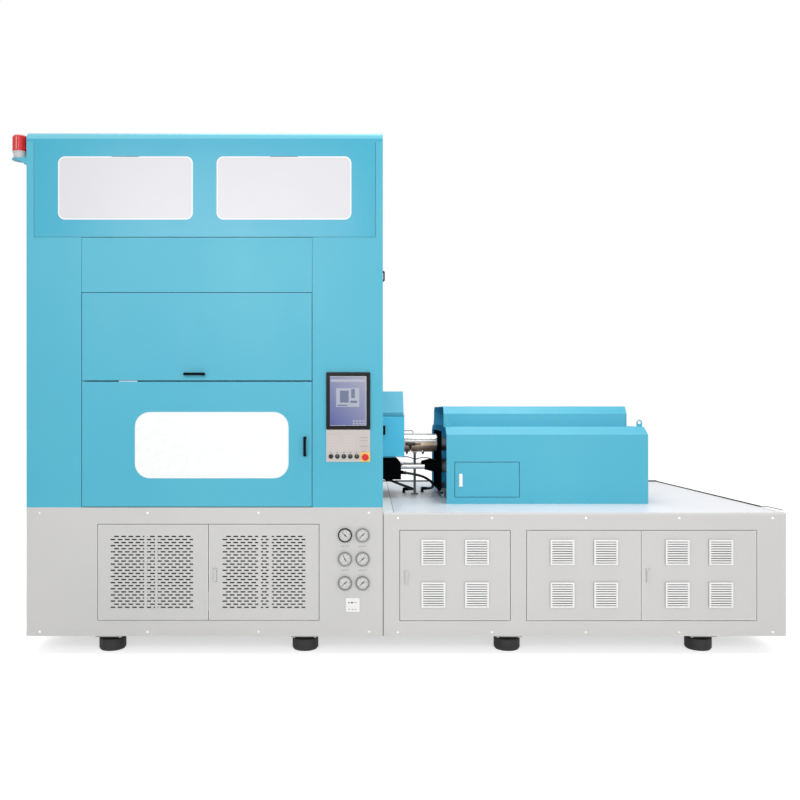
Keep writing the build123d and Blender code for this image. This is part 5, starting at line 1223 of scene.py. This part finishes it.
def addBarrelZone():
    given = barrelZone
    y, z = given["axisY"], given["axisZ"]
    form = bmesh.new()
    addHalfShell(form, given["shellLeft"], given["shellRight"], y, z, given["shellRadius"], given["shellThick"],
                 given["shellSill"])
    for x in given["ribsAt"]:
        addHalfShell(form, x, x + given["ribWidth"], y, z, given["shellRadius"] + given["ribThick"],
                     given["ribThick"], given["shellSill"] - 2)
    formPiece("barrelShell", form, finishes["latch_chrome"], "carriage")
    form = bmesh.new()
    addPlate(form, (given["shellLeft"], y - 64, z + 34), (given["shellRight"], y - 57.5, z + 41))
    addPlate(form, (given["shellLeft"] + 2, y - 7, z + 69), (given["shellRight"] - 2, y + 7, z + 73.5))
    formPiece("shellRibs", form, finishes["frame_paint"], "carriage")
    form = bmesh.new()
    front = y - given["shellRadius"]
    addPlate(form, (given["shellLeft"], front - 2.6, z + 12), (given["shellRight"], front + 1.4, z + 19))
    left, right = given["flangeTab"]
    addPlate(form, (left, front + 12, z + 66), (right, front + 17, z + 69))
    formPiece("shellFlange", form, finishes["mould_steel"], "carriage")
    form = bmesh.new()
    for x, lift, axis, profile, steps in plugs:
        addTurned(form, (x, front - given["plugOut"], z + lift), axis, profile, steps)
    for x in given["clipsAt"]:
        addPlate(form, (x - 9, y - 30, z - 76), (x + 9, y - 12, z - 62), 1.5)
        addPlate(form, (x - 4, y - 26, z - 84), (x + 4, y - 16, z - 75), 1.2)
    formPiece("thermoPlugs", form, finishes["control_black"], "carriage")
    form = bmesh.new()
    left, right = given["post"]
    addPlate(form, (left, y - 6, deckTop + 8), (right, y + 6, z - 72), 1.2)
    addPlate(form, (left - 6, y - 10, z - 74), (right + 6, y + 10, z - 67), 1.2)
    addPlate(form, (left - 16, y - 24, deckTop), (right + 16, y + 24, deckTop + 8), 1.2)
    formPiece("barrelPost", form, finishes["frame_paint"], "machine")
    end, near = given["pipeEnd"], y - given["pipeOut"]
    pipePiece("airPipe", [(given["pipeStart"], near, given["pipeZ"]), (end, near, given["pipeZ"]),
                          (end, near, given["pipeDrop"])], given["pipeRadius"], given["pipeBend"],
              finishes["frame_paint"], "carriage")
    form = bmesh.new()
    addTurned(form, (end, near, 0), "z", given["nut"], 6)
    formPiece("airPipeNut", form, finishes["latch_chrome"], "carriage")
    pipePiece("sensorCable", [(x, y - out, height) for x, out, height in cablePoints], given["cableRadius"],
              given["cableBend"], finishes["hose_rubber"], "carriage")


addBarrelZone()
print("barrel zone dressed")

# Grilles: nine tilted blades in a bevelled white frame over each opening of the louvred doors
grilles = {"corner": 3, "rim": 12, "front": -13, "back": -7.9, "bevel": 4, "blades": 9, "pitch": 14.6,
           "bladeWidth": 126, "bladeHeight": 8.6, "bladeThick": 1.2, "tilt": -16, "bladeY": -8.7}


def bladeTree():
    tree, given, made = growTree("grilleBlades", {
        "Blades": "Int", "Blade Pitch": "Float", "Blade Width": "Float", "Blade Height": "Float",
        "Blade Thickness": "Float", "Tilt": "Float"})
    size = vectorOf(tree, given["Blade Width"], given["Blade Thickness"], given["Blade Height"])
    blade = wired(tree, "GeometryNodeMeshCube", {"Size": size})
    leaned = wired(tree, "GeometryNodeTransform", {"Geometry": blade, "Rotation": vectorOf(tree, given["Tilt"])})
    pitch = given["Blade Pitch"]
    span = mathStep(tree, "MULTIPLY", mathStep(tree, "SUBTRACT", given["Blades"], 1), pitch)
    line = wired(tree, "GeometryNodeMeshLine", {"Count": given["Blades"],
                                                "Offset": vectorOf(tree, 0.0, 0.0, pitch)}, mode="OFFSET")
    down = vectorOf(tree, 0.0, 0.0, mathStep(tree, "MULTIPLY", span, -0.5))
    centred = wired(tree, "GeometryNodeTransform", {"Geometry": line, "Translation": down})
    grille = spread(tree, centred, leaned)
    return finishTree(tree, spread(tree, given["Geometry"], grille), given, made)


def addGrilles():
    given = grilles
    tree = bladeTree()
    half, tall = louvrePads["width"] / 2, louvrePads["height"] / 2
    for name in louvreDoors:
        centres = louvreCentres(name)
        form = bmesh.new()
        for x, z in centres:
            addFrame(form, x - half, x + half, z - tall, z + tall, given["corner"], given["rim"], given["front"],
                     given["back"], 2, given["bevel"])
        formPiece(name + "_frames", form, extra["grilleWhite"], name)
        grown(name + "_blades", tree, pointMesh("grillePlaces", [(x, given["bladeY"], z) for x, z in centres]), {
            "Blades": given["blades"], "Blade Pitch": given["pitch"] / 1000, "Blade Width": given["bladeWidth"] / 1000,
            "Blade Height": given["bladeHeight"] / 1000, "Blade Thickness": given["bladeThick"] / 1000,
            "Tilt": math.radians(given["tilt"]), "Finish": extra["grilleWhite"]}, name)


addGrilles()

# Door folds: a pale line beside each seam, a painted highlight where a pan's bent edge catches the light
doorFoldHighlights = {"vent_door_left": (215, 806), "vent_door_right": (215, 806), **dict.fromkeys(louvreDoors, (212, 768))}
for name, (low, high) in doorFoldHighlights.items():
    left, right = [(corner.x - towerCorner.x) * 1000 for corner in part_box(name)]
    form = bmesh.new()
    addFrame(form, left + 0.2, right - 0.2, low + 0.2, high - 0.2, 2, 3.4, -0.6, 0.4, 2)
    formPiece(name + "_foldHighlight", form, extra["foldHighlight"], name)

# Small things: a dark strip of painted shade over the joint, foot plates with their bolts, marks of painted shade for
# the socket's openings, and a white plate of painted light in the lower door's seam
baseTrim = {"joint": (2209.2, 2214.8, 116, 866), "plateHalf": 84, "plateLow": 91, "plateHigh": 99, "boltAt": 66,
            "feetX": (489, 1718, 3002, 4224), "feetY": (145, 2055), "socketFront": -9,
            "seamLightPlate": (571, 685, 6, 8, 1692, 1698.5)}
# The socket's openings as marks on its face, painted shade: tone, left, right, low and high
socketMarks = (("dark", 1996, 2004, 320, 327), ("dark", 2013, 2025, 320, 327.5), ("pale", 2034, 2049, 322, 325),
               ("pale", 1998, 2004, 279, 285), ("pale", 2018, 2026, 279, 285), ("pale", 2038, 2044, 279, 285))


def addBaseTrim():
    given = baseTrim
    # A dark strip over the joint between tower base and wing: painted shade of its gap
    left, right, low, high = given["joint"]
    platePiece("jointShadeStrip", [((left, -0.8, low), (right, 0.6, high))], 0.4,
               extra["jointShadeGrey"], "machine")
    plates, bolts = bmesh.new(), bmesh.new()
    half, at = given["plateHalf"], given["boltAt"]
    bolt = [(0, 0), (0, 7.4), (1.2, 8.5), (6.2, 8.5), (6.2, 0)]
    for x in given["feetX"]:
        for y in given["feetY"]:
            addPlate(plates, (x - half, y - half, given["plateLow"]), (x + half, y + half, given["plateHigh"]), 1.2)
            for dx, dy in ((-at, -at), (at, -at), (-at, at), (at, at)):
                addTurned(bolts, (x + dx, y + dy, given["plateLow"] - 6), "z", bolt, 6)
    formPiece("footFlanges", plates, extra["flangeGrey"], "machine")
    formPiece("footBolts", bolts, extra["screwZinc"], "machine")
    marks = {"dark": bmesh.new(), "pale": bmesh.new()}
    front = given["socketFront"]
    for tone, left, right, low, high in socketMarks:
        addPlate(marks[tone], (left, front - 0.3, low), (right, front + 0.6, high), 0.4)
    formPiece("socketHoleShade", marks["dark"], extra["bezelBlack"], "machine")
    formPiece("socketFaintHoleShade", marks["pale"], extra["padGrey"], "machine")
    # A white plate in the lower door's seam: painted light where the gap lets light through
    form = bmesh.new()
    left, right, front, back, low, high = given["seamLightPlate"]
    addPlate(form, (left, front, low), (right, back, high), 0.3)
    formPiece("seamLightPlate", form, extra["markWhite"], "lower_door")


addBaseTrim()
print("grilles and base trim in")

# Beacon: moulded ribs round the lens, a pale cap on the dome and a pale upright bar before the lens, both in a painted
# highlight tone, and two rings on the seat
beaconShape = {"x": -64, "y": 60, "ribs": 20, "ringRadius": 44.6, "ribRadius": 2.2, "ribLength": 84, "ribMiddle": 3179,
               "streakX": -70, "streakY": 13.6,
               "cap": [(3224, 0), (3224, 40), (3231, 42.4), (3237.5, 35), (3241.6, 20), (3242.4, 0)],
               "bar": [(3138, 0), (3138, 1.6), (3142, 2.2), (3218, 2.2), (3222, 1.6), (3222, 0)],
               "lowRing": [(3087.2, 0), (3087.2, 44), (3093, 44), (3094, 42), (3094, 0)],
               "highRing": [(3123, 0), (3123, 42.4), (3126, 45.6), (3132, 46), (3132, 0)]}


def ribTree():
    tree, given, made = growTree("lensRibs", {"Ribs": "Int", "Ring Radius": "Float", "Rib Radius": "Float",
                                              "Rib Length": "Float"})
    ring = wired(tree, "GeometryNodeMeshCircle", {"Vertices": given["Ribs"], "Radius": given["Ring Radius"]})
    rib = wired(tree, "GeometryNodeMeshCylinder", {"Vertices": 8, "Radius": given["Rib Radius"],
                                                   "Depth": given["Rib Length"]})
    lens = spread(tree, ring, rib)
    return finishTree(tree, spread(tree, given["Geometry"], lens), given, made)


def addBeacon():
    given = beaconShape
    x, y = given["x"], given["y"]
    grown("beaconRibs", ribTree(), pointMesh("beaconPlace", [(x, y, given["ribMiddle"])]), {
        "Ribs": given["ribs"], "Ring Radius": given["ringRadius"] / 1000, "Rib Radius": given["ribRadius"] / 1000,
        "Rib Length": given["ribLength"] / 1000, "Finish": finishes["beacon_red"]}, "machine")
    form = bmesh.new()
    addTurned(form, (x, y, 0), "z", given["cap"])
    # A pale upright bar before the lens: a painted highlight streak
    addTurned(form, (given["streakX"], given["streakY"], 0), "z", given["bar"], 10)
    formPiece("beaconHighlights", form, extra["capHighlightPink"], "machine", True)
    form = bmesh.new()
    for ring in ("lowRing", "highRing"):
        addTurned(form, (x, y, 0), "z", given[ring])
    formPiece("beaconRings", form, extra["seatGrey"], "machine")


addBeacon()

# Hose ends: a crimped sleeve at each end of both hoses
sleeves = {"radius": 12.4, "pairs": (
    ((2262, 1000, 1003), (2284, 1000, 993.7)), ((2376, 1000, 1052), (2399.8, 1000, 1049)),
    ((2405, 1206, 909), (2426.5, 1195.5, 909)), ((2550, 1262, 909), (2572.4, 1253.4, 909)))}
for i, pair in enumerate(sleeves["pairs"]):
    pipePiece(f"hoseSleeve_{i + 1}", pair, sleeves["radius"], 0, extra["blackRim"], "machine")

# Needles: a broad tail and a bold blade over each thin one, along its own direction
needleShape = {"tail": 16, "tailHalf": 2.9, "bossHalf": 2.5, "reach": 0.82, "tipHalf": 0.7, "proud": 0.5}
for i in range(1, 7):
    node = nodes[f"gauge_needle_{i}"]
    places = [vert.co.copy() for vert in node.data.vertices]
    low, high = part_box(f"gauge_needle_{i}")
    centre = min((spot(x, 0, z) for x in gauges["columns"] for z in gauges["rows"]),
                 key=lambda c: math.hypot(c.x - (low.x + high.x) / 2, c.z - (low.z + high.z) / 2))
    tip = max(places, key=lambda p: math.hypot(p.x - centre.x, p.z - centre.z))
    along = Vector((tip.x - centre.x, 0, tip.z - centre.z))
    reach, along = along.length * needleShape["reach"], along.normalized()
    across = Vector((-along.z, 0, along.x))
    upper = [(-needleShape["tail"], needleShape["tailHalf"]), (0, needleShape["bossHalf"]),
             (reach * 1000, needleShape["tipHalf"])]
    outline = upper + [(u, -v) for u, v in reversed(upper)]
    form = bmesh.new()
    loops = []
    for y in (low.y - needleShape["proud"] / 1000, low.y + 0.0002):
        middle = Vector((centre.x, y, centre.z))
        loops.append([form.verts.new(middle + (along * u + across * v) / 1000) for u, v in outline])
    joinLoops(form, loops)
    form.faces.new(loops[0])
    form.faces.new(loops[1][::-1])
    formPiece(f"needleBlade_{i}", form, finishes["needle_black"], f"gauge_needle_{i}")
print("beacon, hose ends and needles dressed")
